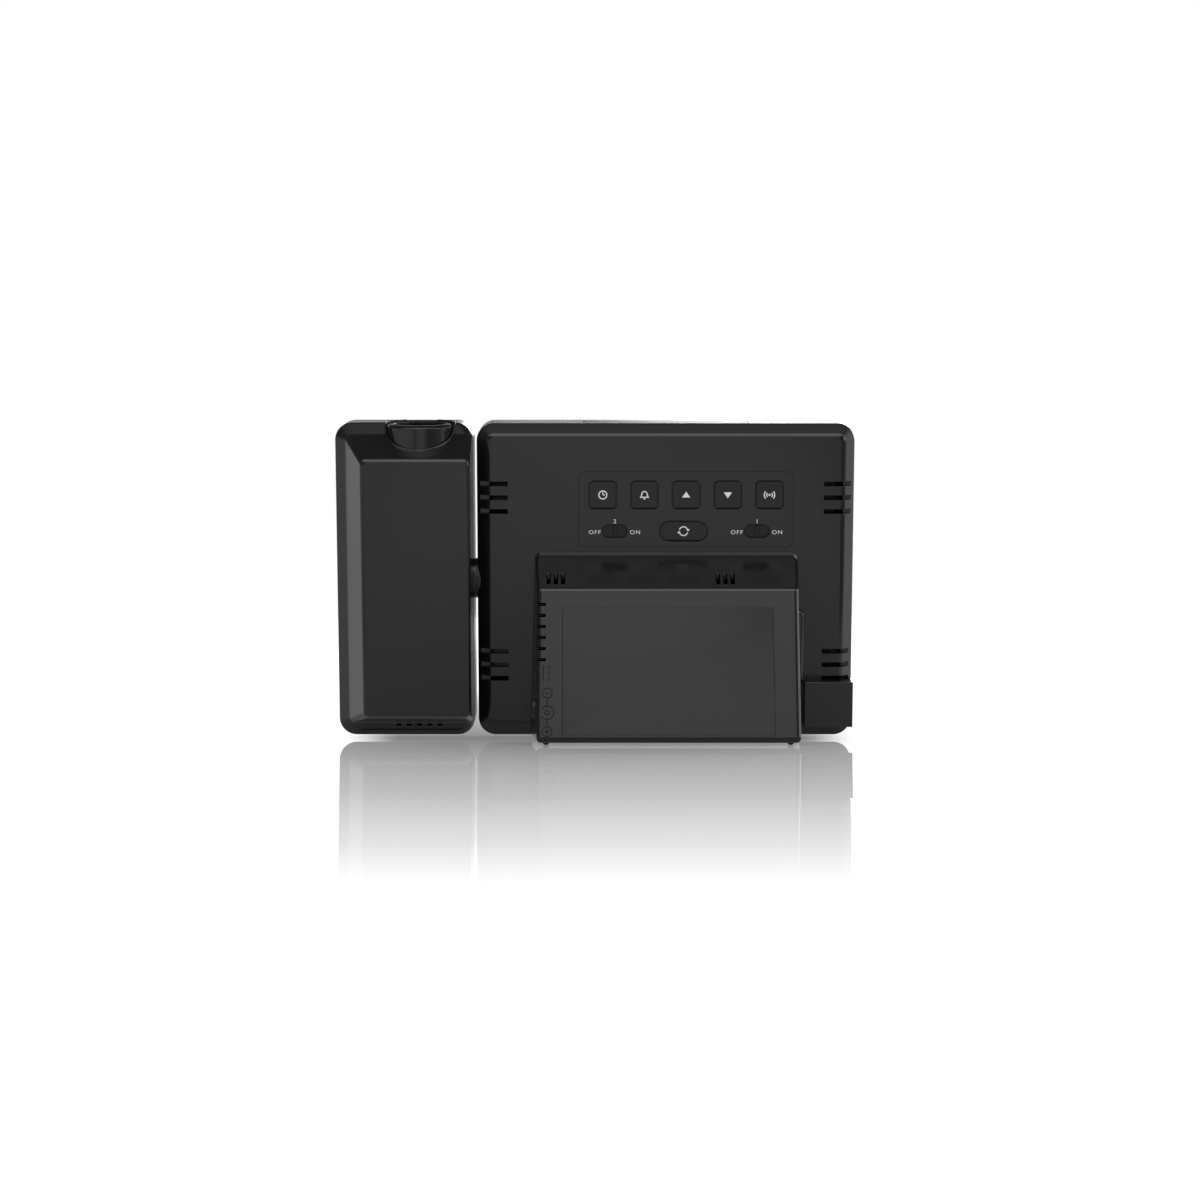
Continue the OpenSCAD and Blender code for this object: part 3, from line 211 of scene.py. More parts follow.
def turned(profile, middle, steps=96):
    """A ring or cap: a profile of (radius, height) points spun about an upright axis."""
    bm = bmesh.new()
    verts = [bm.verts.new(Vector(middle) + Vector((r, 0, z))) for r, z in profile]
    edges = [bm.edges.new(pair) for pair in zip(verts, verts[1:] + verts[:1])]
    bmesh.ops.spin(bm, geom=verts + edges, cent=middle, axis=(0, 0, 1), angle=2 * math.pi,
                   steps=steps, use_merge=True)
    bmesh.ops.remove_doubles(bm, verts=bm.verts, dist=MERGE)
    on_axis = [e for e in bm.edges if not e.link_faces]
    bmesh.ops.delete(bm, geom=on_axis, context="EDGES")
    bmesh.ops.recalc_face_normals(bm, faces=bm.faces)
    return bm


def draw_out(bm, face, way):
    """Draws a flat face out into a solid, in a direction."""
    grown = bmesh.ops.extrude_face_region(bm, geom=[face])["geom"]
    bmesh.ops.translate(bm, vec=way, verts=[v for v in grown if isinstance(v, bmesh.types.BMVert)])


def flat_piece(points, thickness):
    """A thin piece whose outline is given at its front, thickened towards the back."""
    bm = bmesh.new()
    face = bm.faces.new([bm.verts.new(point) for point in points])
    draw_out(bm, face, (0, thickness, 0))
    bmesh.ops.recalc_face_normals(bm, faces=bm.faces)
    return bm


def together(*parts):
    """Several separate shapes in one mesh."""
    mesh = bpy.data.meshes.new("parts")
    whole = bmesh.new()
    for part in parts:
        part.to_mesh(mesh)
        part.free()
        whole.from_mesh(mesh)
    bpy.data.meshes.remove(mesh)
    return whole


def moved(bm, matrix):
    """The same shape in another place."""
    bmesh.ops.transform(bm, matrix=matrix, verts=bm.verts)
    return bm


def loose(bm):
    """A scratch object, on which modifiers can work."""
    mesh = bpy.data.meshes.new("scratch")
    bm.to_mesh(mesh)
    bm.free()
    scratch = bpy.data.objects.new("scratch", mesh)
    bpy.context.scene.collection.objects.link(scratch)
    return scratch


def taken(scratch, *others):
    """The shape of a scratch object after its modifiers; all the scratch objects go."""
    bpy.context.view_layer.update()
    shown = scratch.evaluated_get(bpy.context.evaluated_depsgraph_get())
    bm = bmesh.new()
    bm.from_mesh(shown.to_mesh())
    for used in (scratch, *others):
        mesh = used.data
        bpy.data.objects.remove(used)
        bpy.data.meshes.remove(mesh)
    return bm


def combine(bm, operation, *tools):
    """Joins, cuts or crosses a shape with others: UNION, DIFFERENCE or INTERSECT."""
    target = loose(bm)
    others = [loose(tool) for tool in tools]
    for other in others:
        modifier = target.modifiers.new(operation, "BOOLEAN")
        modifier.operation = operation
        modifier.solver = "EXACT"
        modifier.object = other
    bm = taken(target, *others)
    bmesh.ops.dissolve_degenerate(bm, edges=bm.edges, dist=MERGE)
    return bm


def soften(bm, groups, segments=4):
    """Rounds edges, each group by its own width; a width may be a function of the edge."""
    bm.edges.index_update()
    widths = {e.index: width(e) if callable(width) else width
              for width, edges in groups for e in edges}
    widest = max(widths.values())
    weights = bm.edges.layers.float
    layer = weights.get("bevel_weight_edge") or weights.new("bevel_weight_edge")
    for edge in bm.edges:
        edge[layer] = widths.get(edge.index, 0) / widest
    scratch = loose(bm)
    modifier = scratch.modifiers.new("soften", "BEVEL")
    modifier.limit_method = "WEIGHT"
    modifier.width = widest
    modifier.segments = segments
    modifier.use_clamp_overlap = False
    return taken(scratch)


def shell_form(low, high, radius, chamfer, foot, segments=14, draft=0):
    """A rounded block whose back edge is chamfered, and more so along its foot.
    Its top falls by the draft towards the back. Gives the shape and its back face."""
    low, high = Vector(low), Vector(high)
    bm = block(low, high - Vector((0, chamfer, 0)), radius, segments)
    back = rear_face(bm)
    bmesh.ops.inset_region(bm, faces=[back], thickness=chamfer, use_even_offset=True)
    bmesh.ops.translate(bm, verts=back.verts, vec=(0, chamfer, 0))
    lower = [v for v in back.verts if v.co.z < (low.z + high.z) / 2]
    bmesh.ops.translate(bm, verts=lower, vec=(0, 0, foot - chamfer))
    middle = (low.z + high.z) / 2
    for vert in bm.verts:
        if vert.co.y > low.y + NEAR:
            vert.co.z -= draft * max(0, (vert.co.z - middle) / (high.z - middle))
    return bm, back


def made(name, bm, place, body, slot, material, *nodes, crease=40):
    """The finished piece: smooth shading with flat faces kept flat, its place in its mesh."""
    for face in bm.faces:
        face.smooth = True
    for edge in bm.edges:
        edge.smooth = edge.calc_face_angle(math.pi) < math.radians(crease)
    scratch = loose(bm)
    modifier = scratch.modifiers.new("normals", "WEIGHTED_NORMAL")
    modifier.keep_sharp = True
    bpy.context.view_layer.update()
    shown = scratch.evaluated_get(bpy.context.evaluated_depsgraph_get())
    mesh = bpy.data.meshes.new_from_object(shown, preserve_all_data_layers=True,
                                           depsgraph=bpy.context.evaluated_depsgraph_get())
    mesh.transform(Matrix.Scale(MM, 4) @ place)
    mesh.name = name
    mesh.materials.clear()
    mesh.materials.append(material)
    old = scratch.data
    bpy.data.objects.remove(scratch)
    bpy.data.meshes.remove(old)
    piece = bpy.data.objects.new(name, mesh)
    bpy.context.scene.collection.objects.link(piece)
    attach(piece, body)
    if nodes:
        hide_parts(*nodes)
    return piece


# ---------------------------------------------------------------- materials

def add(tree, kind, settings=None, values=(), **inputs):
    """A node with its settings and inputs; an input is a value or another node's output."""
    node = tree.nodes.new(kind)
    for key, value in (settings or {}).items():
        setattr(node, key, value)
    pairs = list(enumerate(values)) + [(key.replace("_", " "), v) for key, v in inputs.items()]
    for key, value in pairs:
        if isinstance(value, bpy.types.NodeSocket):
            tree.links.new(value, node.inputs[key])
        else:
            node.inputs[key].default_value = value
    return node


def arithmetic(tree, operation, *values, clamp=False):
    """The output of a Math node."""
    settings = {"operation": operation, "use_clamp": clamp}
    return add(tree, "ShaderNodeMath", settings, values).outputs[0]


def glide(tree, value, start, end, low=0.0, high=1.0):
    """Goes smoothly from low to high while a value goes from start to end."""
    return add(tree, "ShaderNodeMapRange", {"interpolation_type": "SMOOTHSTEP"}, Value=value,
               From_Min=start, From_Max=end, To_Min=low, To_Max=high).outputs["Result"]


def zone(tree, *edges):
    """1 inside a zone and 0 outside it; each edge is (coordinate, outside, inside)."""
    share = 1.0
    for place, edge in enumerate(edges):
        inside = glide(tree, *edge)
        share = arithmetic(tree, "MULTIPLY", share, inside) if place else inside
    return share


def blended(tree, share, first, second):
    """The first number or output, turning into the second as the share grows."""
    return add(tree, "ShaderNodeMix", {"data_type": "FLOAT"}, Factor=share,
               A=first, B=second).outputs[0]


def ray_kinds(tree):
    """Whether the camera sees a point directly, and whether gloss or glass shows it."""
    path = add(tree, "ShaderNodeLightPath").outputs
    shown = arithmetic(tree, "MAXIMUM", path["Is Glossy Ray"], path["Is Transmission Ray"])
    return path["Is Camera Ray"], shown


def ending(tree, shader, kind="ShaderNodeOutputMaterial"):
    """Ends a node tree with its shader."""
    end = tree.nodes.new(kind)
    tree.links.new(shader.outputs[0], end.inputs["Surface"])


def ramp(tree, factor, stops, interpolation="LINEAR"):
    """A grey ramp through (position, level) stops."""
    node = add(tree, "ShaderNodeValToRGB", Fac=factor)
    node.color_ramp.interpolation = interpolation
    elements = node.color_ramp.elements
    for _ in stops[2:]:
        elements.new(0.5)
    for element, (position, level) in zip(elements, stops):
        element.position = position
        element.color = (level, level, level, 1)
    return node.outputs["Color"]


def group_of(name, inputs, outputs):
    """A node group with named number sockets; gives the tree and its two end nodes."""
    tree = bpy.data.node_groups.new(name, "ShaderNodeTree")
    for socket, value in inputs:
        entry = tree.interface.new_socket(socket, in_out="INPUT", socket_type="NodeSocketFloat")
        entry.default_value = value
    for socket in outputs:
        tree.interface.new_socket(socket, in_out="OUTPUT", socket_type="NodeSocketFloat")
    return tree, tree.nodes.new("NodeGroupInput"), tree.nodes.new("NodeGroupOutput")


# Grain and patches per metre, and the grain's depth in millimetres
GRAIN_SCALE, PATCH_SCALE, GRAIN_DEPTH = 5200, 60, 0.0015


def moulded_grain():
    """Fine spark-eroded grain of a mould, with broad patches a little more or less polished."""
    tree, start, end = group_of(
        "moulded_grain", [("Grain Scale", GRAIN_SCALE), ("Patch Scale", PATCH_SCALE)],
        ["Height", "Patch"])
    place = add(tree, "ShaderNodeTexCoord").outputs["Object"]
    grain = add(tree, "ShaderNodeTexNoise", Vector=place, Scale=start.outputs["Grain Scale"],
                Detail=2.0, Roughness=0.6)
    patch = add(tree, "ShaderNodeTexNoise", Vector=place, Scale=start.outputs["Patch Scale"],
                Detail=3.0, Roughness=0.55)
    tree.links.new(grain.outputs["Fac"], end.inputs["Height"])
    tree.links.new(patch.outputs["Fac"], end.inputs["Patch"])
    return tree


GRAIN = moulded_grain()


def new_material(name):
    """An empty node material and its tree."""
    material = bpy.data.materials.new(name)
    material.use_nodes = True
    material.node_tree.nodes.clear()
    return material, material.node_tree


def grained(tree, grain_scale, patch_scale, depth):
    """Grain group with a bump; gives the normal and the patches."""
    grain = add(tree, "ShaderNodeGroup", {"node_tree": GRAIN}, Grain_Scale=grain_scale,
                Patch_Scale=patch_scale)
    bump = add(tree, "ShaderNodeBump", Strength=1.0, Distance=depth * MM,
               Height=grain.outputs["Height"])
    return bump.outputs["Normal"], grain.outputs["Patch"]


NOISE_LOW, NOISE_HIGH = 0.3, 0.7  # where nearly all of a noise pattern lies
GLOSS_SPREAD = 0.02              # how far the roughness wanders to either side


def spread(tree, factor, low, high):
    """A number that runs from low to high with a pattern."""
    return add(tree, "ShaderNodeMapRange", Value=factor, From_Min=NOISE_LOW, From_Max=NOISE_HIGH,
               To_Min=low, To_Max=high).outputs["Result"]


def tinted(tree, factor, dark, light):
    """A colour between two that follows a pattern."""
    mix = add(tree, "ShaderNodeMix", {"data_type": "RGBA"}, Factor=factor,
              A=(*dark, 1), B=(*light, 1))
    return next(s for s in mix.outputs if s.type == "RGBA")


def plastic(name, dark, light, rough, ior=1.45, grain=GRAIN_SCALE, depth=GRAIN_DEPTH,
            patch=PATCH_SCALE, **sockets):
    """Moulded plastic: two close colours in broad patches, a fine grain and an even gloss."""
    material, tree = new_material(name)
    normal, patches = grained(tree, grain, patch, depth)
    shader = add(tree, "ShaderNodeBsdfPrincipled", Base_Color=tinted(tree, patches, dark, light),
                 Roughness=spread(tree, patches, rough - GLOSS_SPREAD, rough + GLOSS_SPREAD),
                 IOR=ior, Normal=normal, **sockets)
    ending(tree, shader)
    return material


def metal(name, dark, light, rough):
    """Plated or drawn metal with a fine drawn grain."""
    return plastic(name, dark, light, rough, grain=2500, depth=0.004, patch=180, Metallic=1.0)


def glass(name, colour, rough=0.03):
    """Clear or tinted plastic glass, with faint ripples in its surface."""
    material, tree = new_material(name)
    normal, patches = grained(tree, 900, 40, 0.001)
    shader = add(tree, "ShaderNodeBsdfPrincipled", Base_Color=(*colour, 1), IOR=1.5,
                 Roughness=spread(tree, patches, rough, rough + 0.03), Transmission_Weight=1.0,
                 Normal=normal)
    ending(tree, shader)
    return material


def lit(name, colour, strength):
    """A display segment that glows, a little unevenly."""
    material, tree = new_material(name)
    normal, patches = grained(tree, 3000, 400, 0.001)
    glow = tinted(tree, patches, [c * 0.9 for c in colour], colour)
    shader = add(tree, "ShaderNodeBsdfPrincipled", Base_Color=(*colour, 1), Roughness=0.4,
                 Emission_Color=glow, Emission_Strength=strength, Normal=normal)
    ending(tree, shader)
    return material


SHELL = plastic("satin_black_shell", (0.0090, 0.0090, 0.0094), (0.0110, 0.0110, 0.0115), 0.20)
# A darker copy of the shell's plastic for the stand and its door: painted shade, which keeps the
# stand's rim by the case dark
SHADED_STAND_SHELL = plastic("satin_black_stand_shaded",
                      (0.0075, 0.0075, 0.0079), (0.0092, 0.0092, 0.0096), 0.20)
KEY_TOP = plastic("matt_black_keys",
                  (0.0070, 0.0070, 0.0074), (0.0085, 0.0085, 0.0089), 0.26, ior=1.41)
KNOB = plastic("black_slide_knobs",
               (0.0050, 0.0050, 0.0053), (0.0062, 0.0062, 0.0066), 0.30, ior=1.40)
RING = plastic("black_focus_ring", (0.0075, 0.0075, 0.0079), (0.0092, 0.0092, 0.0096), 0.19)
INNER = plastic("black_inner_plastic", (0.0100, 0.0100, 0.0105), (0.0140, 0.0140, 0.0145), 0.50)
MARK = plastic("matt_marks", (0.0150, 0.0150, 0.0155), (0.0180, 0.0180, 0.0185), 0.60, ior=1.15)
INK = plastic("white_print", (0.78, 0.78, 0.78), (0.84, 0.84, 0.84), 0.55, depth=0.002)
RUBBER = plastic("black_rubber", (0.010, 0.010, 0.010), (0.016, 0.016, 0.016), 0.75, ior=1.5,
                 depth=0.02)
BUSH = plastic("ivory_bush", (0.62, 0.58, 0.48), (0.68, 0.64, 0.54), 0.40)
DIFFUSER = plastic("white_diffuser", (0.78, 0.78, 0.76), (0.84, 0.84, 0.82), 0.45)
STEEL = metal("nickel_steel", (0.52, 0.52, 0.53), (0.62, 0.62, 0.63), 0.28)
SPRING = metal("spring_steel", (0.45, 0.45, 0.44), (0.56, 0.55, 0.53), 0.34)
# The boards' green is darkened almost to black: painted shade, so that the vents that show them
# look dark
SHADED_BOARD = plastic("green_board_shaded_dark", (0.0015, 0.0075, 0.0040), (0.0025, 0.0110, 0.0055), 0.32,
                grain=900, depth=0.01, patch=500)
CELLS = plastic("cell_sleeve", (0.05, 0.05, 0.055), (0.09, 0.09, 0.10), 0.25, patch=120)
WIRE = plastic("red_wire", (0.30, 0.02, 0.015), (0.36, 0.03, 0.02), 0.40)
WINDOW = glass("smoked_window", (0.36, 0.37, 0.38))
CLEAR = glass("clear_lens_glass", (0.96, 0.97, 0.98), rough=0.005)
DISPLAY = plastic("dark_display", (0.004, 0.005, 0.006), (0.007, 0.008, 0.010), 0.12)
DIGITS = lit("lit_digits", (0.75, 0.90, 1.0), 1.6)


# ---------------------------------------------------------------- case

PORT_INSET = 0.4
PORT_W, PORT_H, PORT_Z, PORT_RISE = 17.8, 16.75, 5.1, 7.0
PORT_SOFT = 0.3
PORT_X0 = CASE_LOW.x + PORT_INSET
WAY_SIDE, WAY_RISE, WAY_TOP = 1.6, 3.0, 47.9
WAY_CORNER, WAY_SOFT, WAY_PLAY = 2.4, 1.25, 0.08
WAY_X0 = CASE_MID - STAND_HALF - WAY_SIDE
WAY_W = WAY_SIDE + 2 * STAND_WALL
VENT_W, VENT_H, VENT_PITCH, VENT_DEPTH, VENT_INSET = 10.1, 1.7, 5.05, 3.0, 1.3
VENT_ROWS = (27.1, 89.0)
CUT = 1.0                        # overrun of cuts
FIT = 0.05                       # play of an insert in its seat
PANEL_SEAT_R, PANEL_LEDGE = 2.45, 1.2
SNOOZE_LAP_X, SNOOZE_LAP_Y, SNOOZE_GAP = 1.2, 0.8, 0.3
BUSH_FLANGE = 0.6


def collar(x0, x1):
    """The round collar between the case and the arm."""
    return swivel_rod(COLLAR_R, x0, x1, 96)


def swivel_rod(radius, x0, x1, segments=64):
    """A cylinder about the swivel's axis."""
    return rod(radius, (x0, HINGE_Y, HINGE_Z), (x1, HINGE_Y, HINGE_Z), SIDE, segments)


def rear_rims(bm):
    """Fillets along a rear half's parting line and where its back chamfer starts."""
    return [(SIDE_SOFT, edges_at(bm, DEPTH, CASE_T - BACK_CHAMFER)),
            (PARTING_SOFT, edges_at(bm, DEPTH, FRONT_DEPTH))]


def front_half(x0, x1):
    """Outside of a front half, with a soft outer edge."""
    bm = block((x0, 0, 0), (x1, FRONT_DEPTH, CASE_H), CORNER_R, 14)
    return soften(bm, [(FRONT_EDGE, edges_at(bm, DEPTH, 0)),
                       (PARTING_SOFT, edges_at(bm, DEPTH, FRONT_DEPTH))])


def case_form():
    """Outside of the rear half, with its edges rounded."""
    bm, back = shell_form((CASE_LOW.x, FRONT_DEPTH, 0), (CASE_SIDE, CASE_T, CASE_H),
                          CORNER_R, BACK_CHAMFER, FOOT_CHAMFER, draft=TOP_DRAFT)
    return soften(bm, [(BACK_SOFT, back.edges), *rear_rims(bm)])


def vent_slots():
    """Four groups of three slots that run out over the side chamfers."""
    places = [(x, z + row * VENT_PITCH) for z in VENT_ROWS for row in (-1, 0, 1)
              for x in (CASE_LOW.x + VENT_INSET, CASE_SIDE - VENT_INSET - VENT_W)]
    return together(*[block((x, CASE_T - VENT_DEPTH, z - VENT_H / 2),
                            (x + VENT_W, CASE_T + CUT, z + VENT_H / 2)) for x, z in places])


def port_block():
    """The block with the port, at the case's lower corner."""
    bm = block((PORT_X0, CASE_T - BACK_CHAMFER, PORT_Z),
               (PORT_X0 + PORT_W, CASE_T + PORT_RISE, PORT_Z + PORT_H))
    bevel(bm, list(bm.edges), PORT_SOFT, 4)
    return bm


def wire_way(grow=0):
    """Raised way for the wires between the stand and the port block."""
    bm = block((WAY_X0 - grow, CASE_T - CUT, PORT_Z + PORT_H - CUT),
               (WAY_X0 + WAY_W, CASE_T + WAY_RISE + grow, WAY_TOP + grow))
    upper = [e for e in edges_along(bm, DEPTH) if e.verts[0].co.z > WAY_TOP - CUT]
    bevel(bm, upper, WAY_CORNER, 8)
    bevel(bm, edges_at(bm, DEPTH, CASE_T + WAY_RISE + grow), WAY_SOFT, 5)
    return bm


def rear_case():
    """Rear half of the case, with its collar, port block, wire way and openings."""
    socket_low, socket_high = local_box("usb_socket", CASE)
    bar_low, bar_high = local_box("snooze_bar", CASE)
    bush_low, bush_high = local_box("hinge_bush", CASE)
    cavity, _ = shell_form((CASE_LOW.x + SIDE_WALL, FRONT_DEPTH - CUT, END_WALL),
                           (CASE_HIGH.x - SIDE_WALL, CASE_T - BACK_WALL, CASE_H - END_WALL),
                           CORNER_R - SIDE_WALL, CAVITY_CHAMFER, FOOT_CHAMFER - END_WALL, 6)
    fit = Vector((FIT, 0, FIT))
    ledge = Vector((PANEL_LEDGE, 0, PANEL_LEDGE))
    bush_r = (bush_high.z - bush_low.z) / 2 - BUSH_FLANGE
    bm = combine(case_form(), "UNION", port_block(), wire_way(),
                 collar(CASE_HIGH.x - CUT, bush_high.x))
    bm = combine(
        bm, "DIFFERENCE", cavity, vent_slots(),
        block(PANEL_LOW - fit, PANEL_HIGH + fit + Vector((0, CUT, 0)), PANEL_SEAT_R),
        block(PANEL_LOW + ledge - Vector((0, 2 * CUT, 0)), PANEL_HIGH - ledge, 1.0, 4),
        block((bar_low.x + SNOOZE_LAP_X - SNOOZE_GAP, bar_low.y + SNOOZE_LAP_Y - SNOOZE_GAP,
               CASE_H - END_WALL - CUT),
              (bar_high.x - SNOOZE_LAP_X + SNOOZE_GAP, bar_high.y - SNOOZE_LAP_Y + SNOOZE_GAP,
               CASE_H + CUT)),
        block(socket_low - fit - Vector((2 * CUT, 0, 0)), socket_high + fit),
        swivel_rod(bush_r, CASE_HIGH.x - SIDE_WALL - CUT, CASE_HIGH.x + 2 * CUT))

    def on_back(point):
        return point.y > CASE_T - BACK_CHAMFER and abs(point.z - PORT_Z) > NEAR
    bevel(bm, sharp_edges(bm, on_back), SLOT_SOFT, 2)
    return made("rear_case", bm, CASE, "case", "shell", SHELL, "rear_shell")


def front_bezel():
    """Front half of the case: the wall round the window, and a lip that enters the rear half."""
    play, lip_rise, lip_inside = 0.2, 1.6, 1.2
    view_x, view_z = 2, 3
    hinge_t, hinge_room = 2.2, 9
    bar_half, bar_room = 33, 8
    wall_x0, wall_x1 = CASE_LOW.x + SIDE_WALL, CASE_HIGH.x - SIDE_WALL
    wall_top = CASE_H - END_WALL
    window_low, window_high = local_box("display_window", CASE)
    view_low, view_high = local_box("lcd_panel", CASE)
    bm = front_half(CASE_LOW.x, CASE_SIDE)
    bm = combine(bm, "UNION",
                 block((wall_x0 + play, FRONT_WALL, END_WALL + play),
                       (wall_x1 - play, FRONT_DEPTH + lip_rise, wall_top - play), 2.8, 6))
    bm = combine(
        bm, "DIFFERENCE",
        block((wall_x0 + lip_inside, FRONT_WALL, END_WALL + lip_inside),
              (wall_x1 - lip_inside, CASE_T, wall_top - lip_inside), 1.0, 4),
        block(window_low - Vector((play, CUT, play)), window_high + Vector((play, FIT, play)),
              WINDOW_R),
        block((view_low.x + view_x, -CUT, view_low.z + view_z),
              (view_high.x - view_x, FRONT_WALL + CUT, view_high.z - view_z), 2.0),
        block((wall_x1 - hinge_t, FRONT_DEPTH, HINGE_Z - hinge_room),
              (wall_x1 + FIT, CASE_T, HINGE_Z + hinge_room)),
        block((CASE_MID - bar_half, FRONT_DEPTH, CASE_H - bar_room),
              (CASE_MID + bar_half, CASE_T, wall_top + FIT)))
    bevel(bm, sharp_edges(bm, lambda p: p.y < NEAR), WINDOW_SOFT, 2)
    return made("front_bezel", bm, CASE, "case", "shell", SHELL, "front_frame")


def display_window():
    """The smoked window in the front."""
    low, high = local_box("display_window", CASE)
    bm = block(low, high, WINDOW_R - 0.2)
    bevel(bm, edges_at(bm, DEPTH, low.y) + edges_at(bm, DEPTH, high.y), WINDOW_SOFT, 2)
    return made("tinted_window", bm, CASE, "case", "window", WINDOW, "display_window")


# ---------------------------------------------------------------- keys

PANEL_LOW, PANEL_HIGH = local_box("key_panel", CASE)
KEY_NAMES = ("time", "alarm", "up", "down", "wave")
KEY_SIZE = 9.35
KEY_R = 1.2
KEY_GAP = 0.62
ROTATE_W, ROTATE_H = 16.8, 6.4
OPENING_W, OPENING_H = 9.6, 5.2
KEY_PROUD = 0.5
FLANGE_T, FLANGE_LAP = 0.8, 0.8
FLANGE_BACK = PANEL_LOW.y - 0.2
STEM_R = 1.5
PAD_W, PAD_H, RIB_W, GROOVE_W = 8.0, 3.7, 1.0, 0.6
OVERLAP = 0.2                    # how far joined shapes reach into each other
FLAT_END = 0.01                  # what a round end leaves flat
KNOB_SINK, KNOB_BASE_T = 0.08, 0.3
PRINT_T = 0.03
PRINT_W = 0.42


def middle_of(node):
    """Middle of a node in the case's frame."""
    low, high = local_box(node, CASE)
    return (low + high) / 2


KEY_X = {key: middle_of("key_" + key).x for key in KEY_NAMES}
KEY_Z = middle_of("key_time").z
ROTATE = middle_of("key_rotate")
LOWER_Z = middle_of("alarm_switch_1").z
SWITCH_X = {number: middle_of(f"alarm_switch_{number}").x for number in (1, 2)}


def key_plate():
    """The key panel, with a hole round each key and an opening over each knob."""
    low, high = PANEL_LOW, PANEL_HIGH
    gap = 2 * KEY_GAP

    def hole(x, z, width, height, radius, segments=8):
        return plate(x, z, width, height, low.y - CUT, high.y + CUT, radius, segments)
    holes = [hole(x, KEY_Z, KEY_SIZE + gap, KEY_SIZE + gap, KEY_R + KEY_GAP)
             for x in KEY_X.values()]
    holes.append(hole(ROTATE.x, LOWER_Z, ROTATE_W + gap, ROTATE_H + gap,
                      ROTATE_H / 2 + KEY_GAP - FLAT_END, 16))
    holes += [hole(x, LOWER_Z, OPENING_W, OPENING_H, OPENING_H / 2 - FLAT_END, 16)
              for x in SWITCH_X.values()]
    bm = combine(block(low, high, 2.4), "DIFFERENCE", together(*holes))
    bevel(bm, sharp_edges(bm, lambda p: p.y > high.y - NEAR), PANEL_SOFT, 2)
    return made("key_plate", bm, CASE, "case", "shell", SHELL, "key_panel")


def key(name, x, z, width, height, radius, node, body):
    """A key: its top through the panel, a flange behind the panel and a stem to its switch."""
    low, _ = local_box(node, CASE)
    top = plate(x, z, width, height, FLANGE_BACK - OVERLAP, CASE_T + KEY_PROUD, radius, 12)
    bevel(top, edges_at(top, DEPTH, CASE_T + KEY_PROUD), KEY_SOFT, 3)
    flange = plate(x, z, width + 2 * FLANGE_LAP, height + FLANGE_LAP,
                   FLANGE_BACK - FLANGE_T, FLANGE_BACK, KEY_R)
    stem = rod(STEM_R, (x, low.y, z), (x, FLANGE_BACK - FLANGE_T / 2, z), DEPTH, 24)
    bm = combine(top, "UNION", flange, stem)
    return made(name, bm, CASE, body, "keys", KEY_TOP, node)


def slide_knob(number):
    """A knob just under the panel: an oval pad with a rib between two grooves, on a wider plate."""
    node = f"alarm_switch_{number}"
    low, high = local_box(node, CASE)
    x, back = SWITCH_X[number], FLANGE_BACK - FLANGE_T
    front = back + KNOB_BASE_T
    pad = plate(x, LOWER_Z, PAD_W, PAD_H, back, PANEL_LOW.y - KNOB_SINK, PAD_H / 2 - FLAT_END, 16)
    grooves = [plate(x + side * (RIB_W + GROOVE_W) / 2, LOWER_Z, GROOVE_W, PAD_H + CUT,
                     front, CASE_T) for side in (-1, 1)]
    base = block((low.x, back, low.z), (high.x, front, high.z), 0.4, 3)
    rib = plate(x, LOWER_Z, RIB_W, PAD_H - 0.1, back + OVERLAP, high.y, 0.3, 4)
    bevel(rib, edges_at(rib, DEPTH, high.y), 0.12, 2)
    stem = plate(x, LOWER_Z, 1.6, 1.6, low.y, back + 0.1, 0.2, 2)
    bm = combine(combine(pad, "DIFFERENCE", *grooves), "UNION", base, rib, stem)
    return made(f"slide_knob_{number}", bm, CASE, f"switch_knob_{number}", "keys", KNOB, node)


def snooze_bar():
    """The bar in the case's top. Its upper side follows the case's draft."""
    low, high = local_box("snooze_bar", CASE)
    middle_y = middle_of("snooze_bar").y
    flange_top = CASE_H - END_WALL - OVERLAP
    top = block((low.x + SNOOZE_LAP_X, low.y + SNOOZE_LAP_Y, flange_top - OVERLAP),
                (high.x - SNOOZE_LAP_X, high.y - SNOOZE_LAP_Y, CASE_H), 1.0, 6, UP)
    upper = [v for v in top.verts if v.co.z > CASE_H - NEAR]
    for vert in upper:
        vert.co.z -= TOP_DRAFT * (vert.co.y - FRONT_DEPTH) / (CASE_T - BACK_CHAMFER - FRONT_DEPTH)
    bevel(top, [e for e in top.edges if all(v in upper for v in e.verts)], KEY_SOFT, 3)
    flange = block((low.x, low.y, flange_top - FLANGE_T), (high.x, high.y, flange_top))
    stem = rod(1.3, (CASE_MID, middle_y, low.z),
               (CASE_MID, middle_y, flange_top - FLANGE_T / 2), UP, 24)
    bm = combine(top, "UNION", flange, stem)
    return made("snooze_button", bm, CASE, "snooze_key", "keys", KEY_TOP, "snooze_bar")


# ---------------------------------------------------------------- printed signs

ARC_STEP = 12                    # degrees between the points of an arc
CAPITALS = 1.39                  # size of the face that gives capitals of height 1
LETTER_SPACE = 1.2


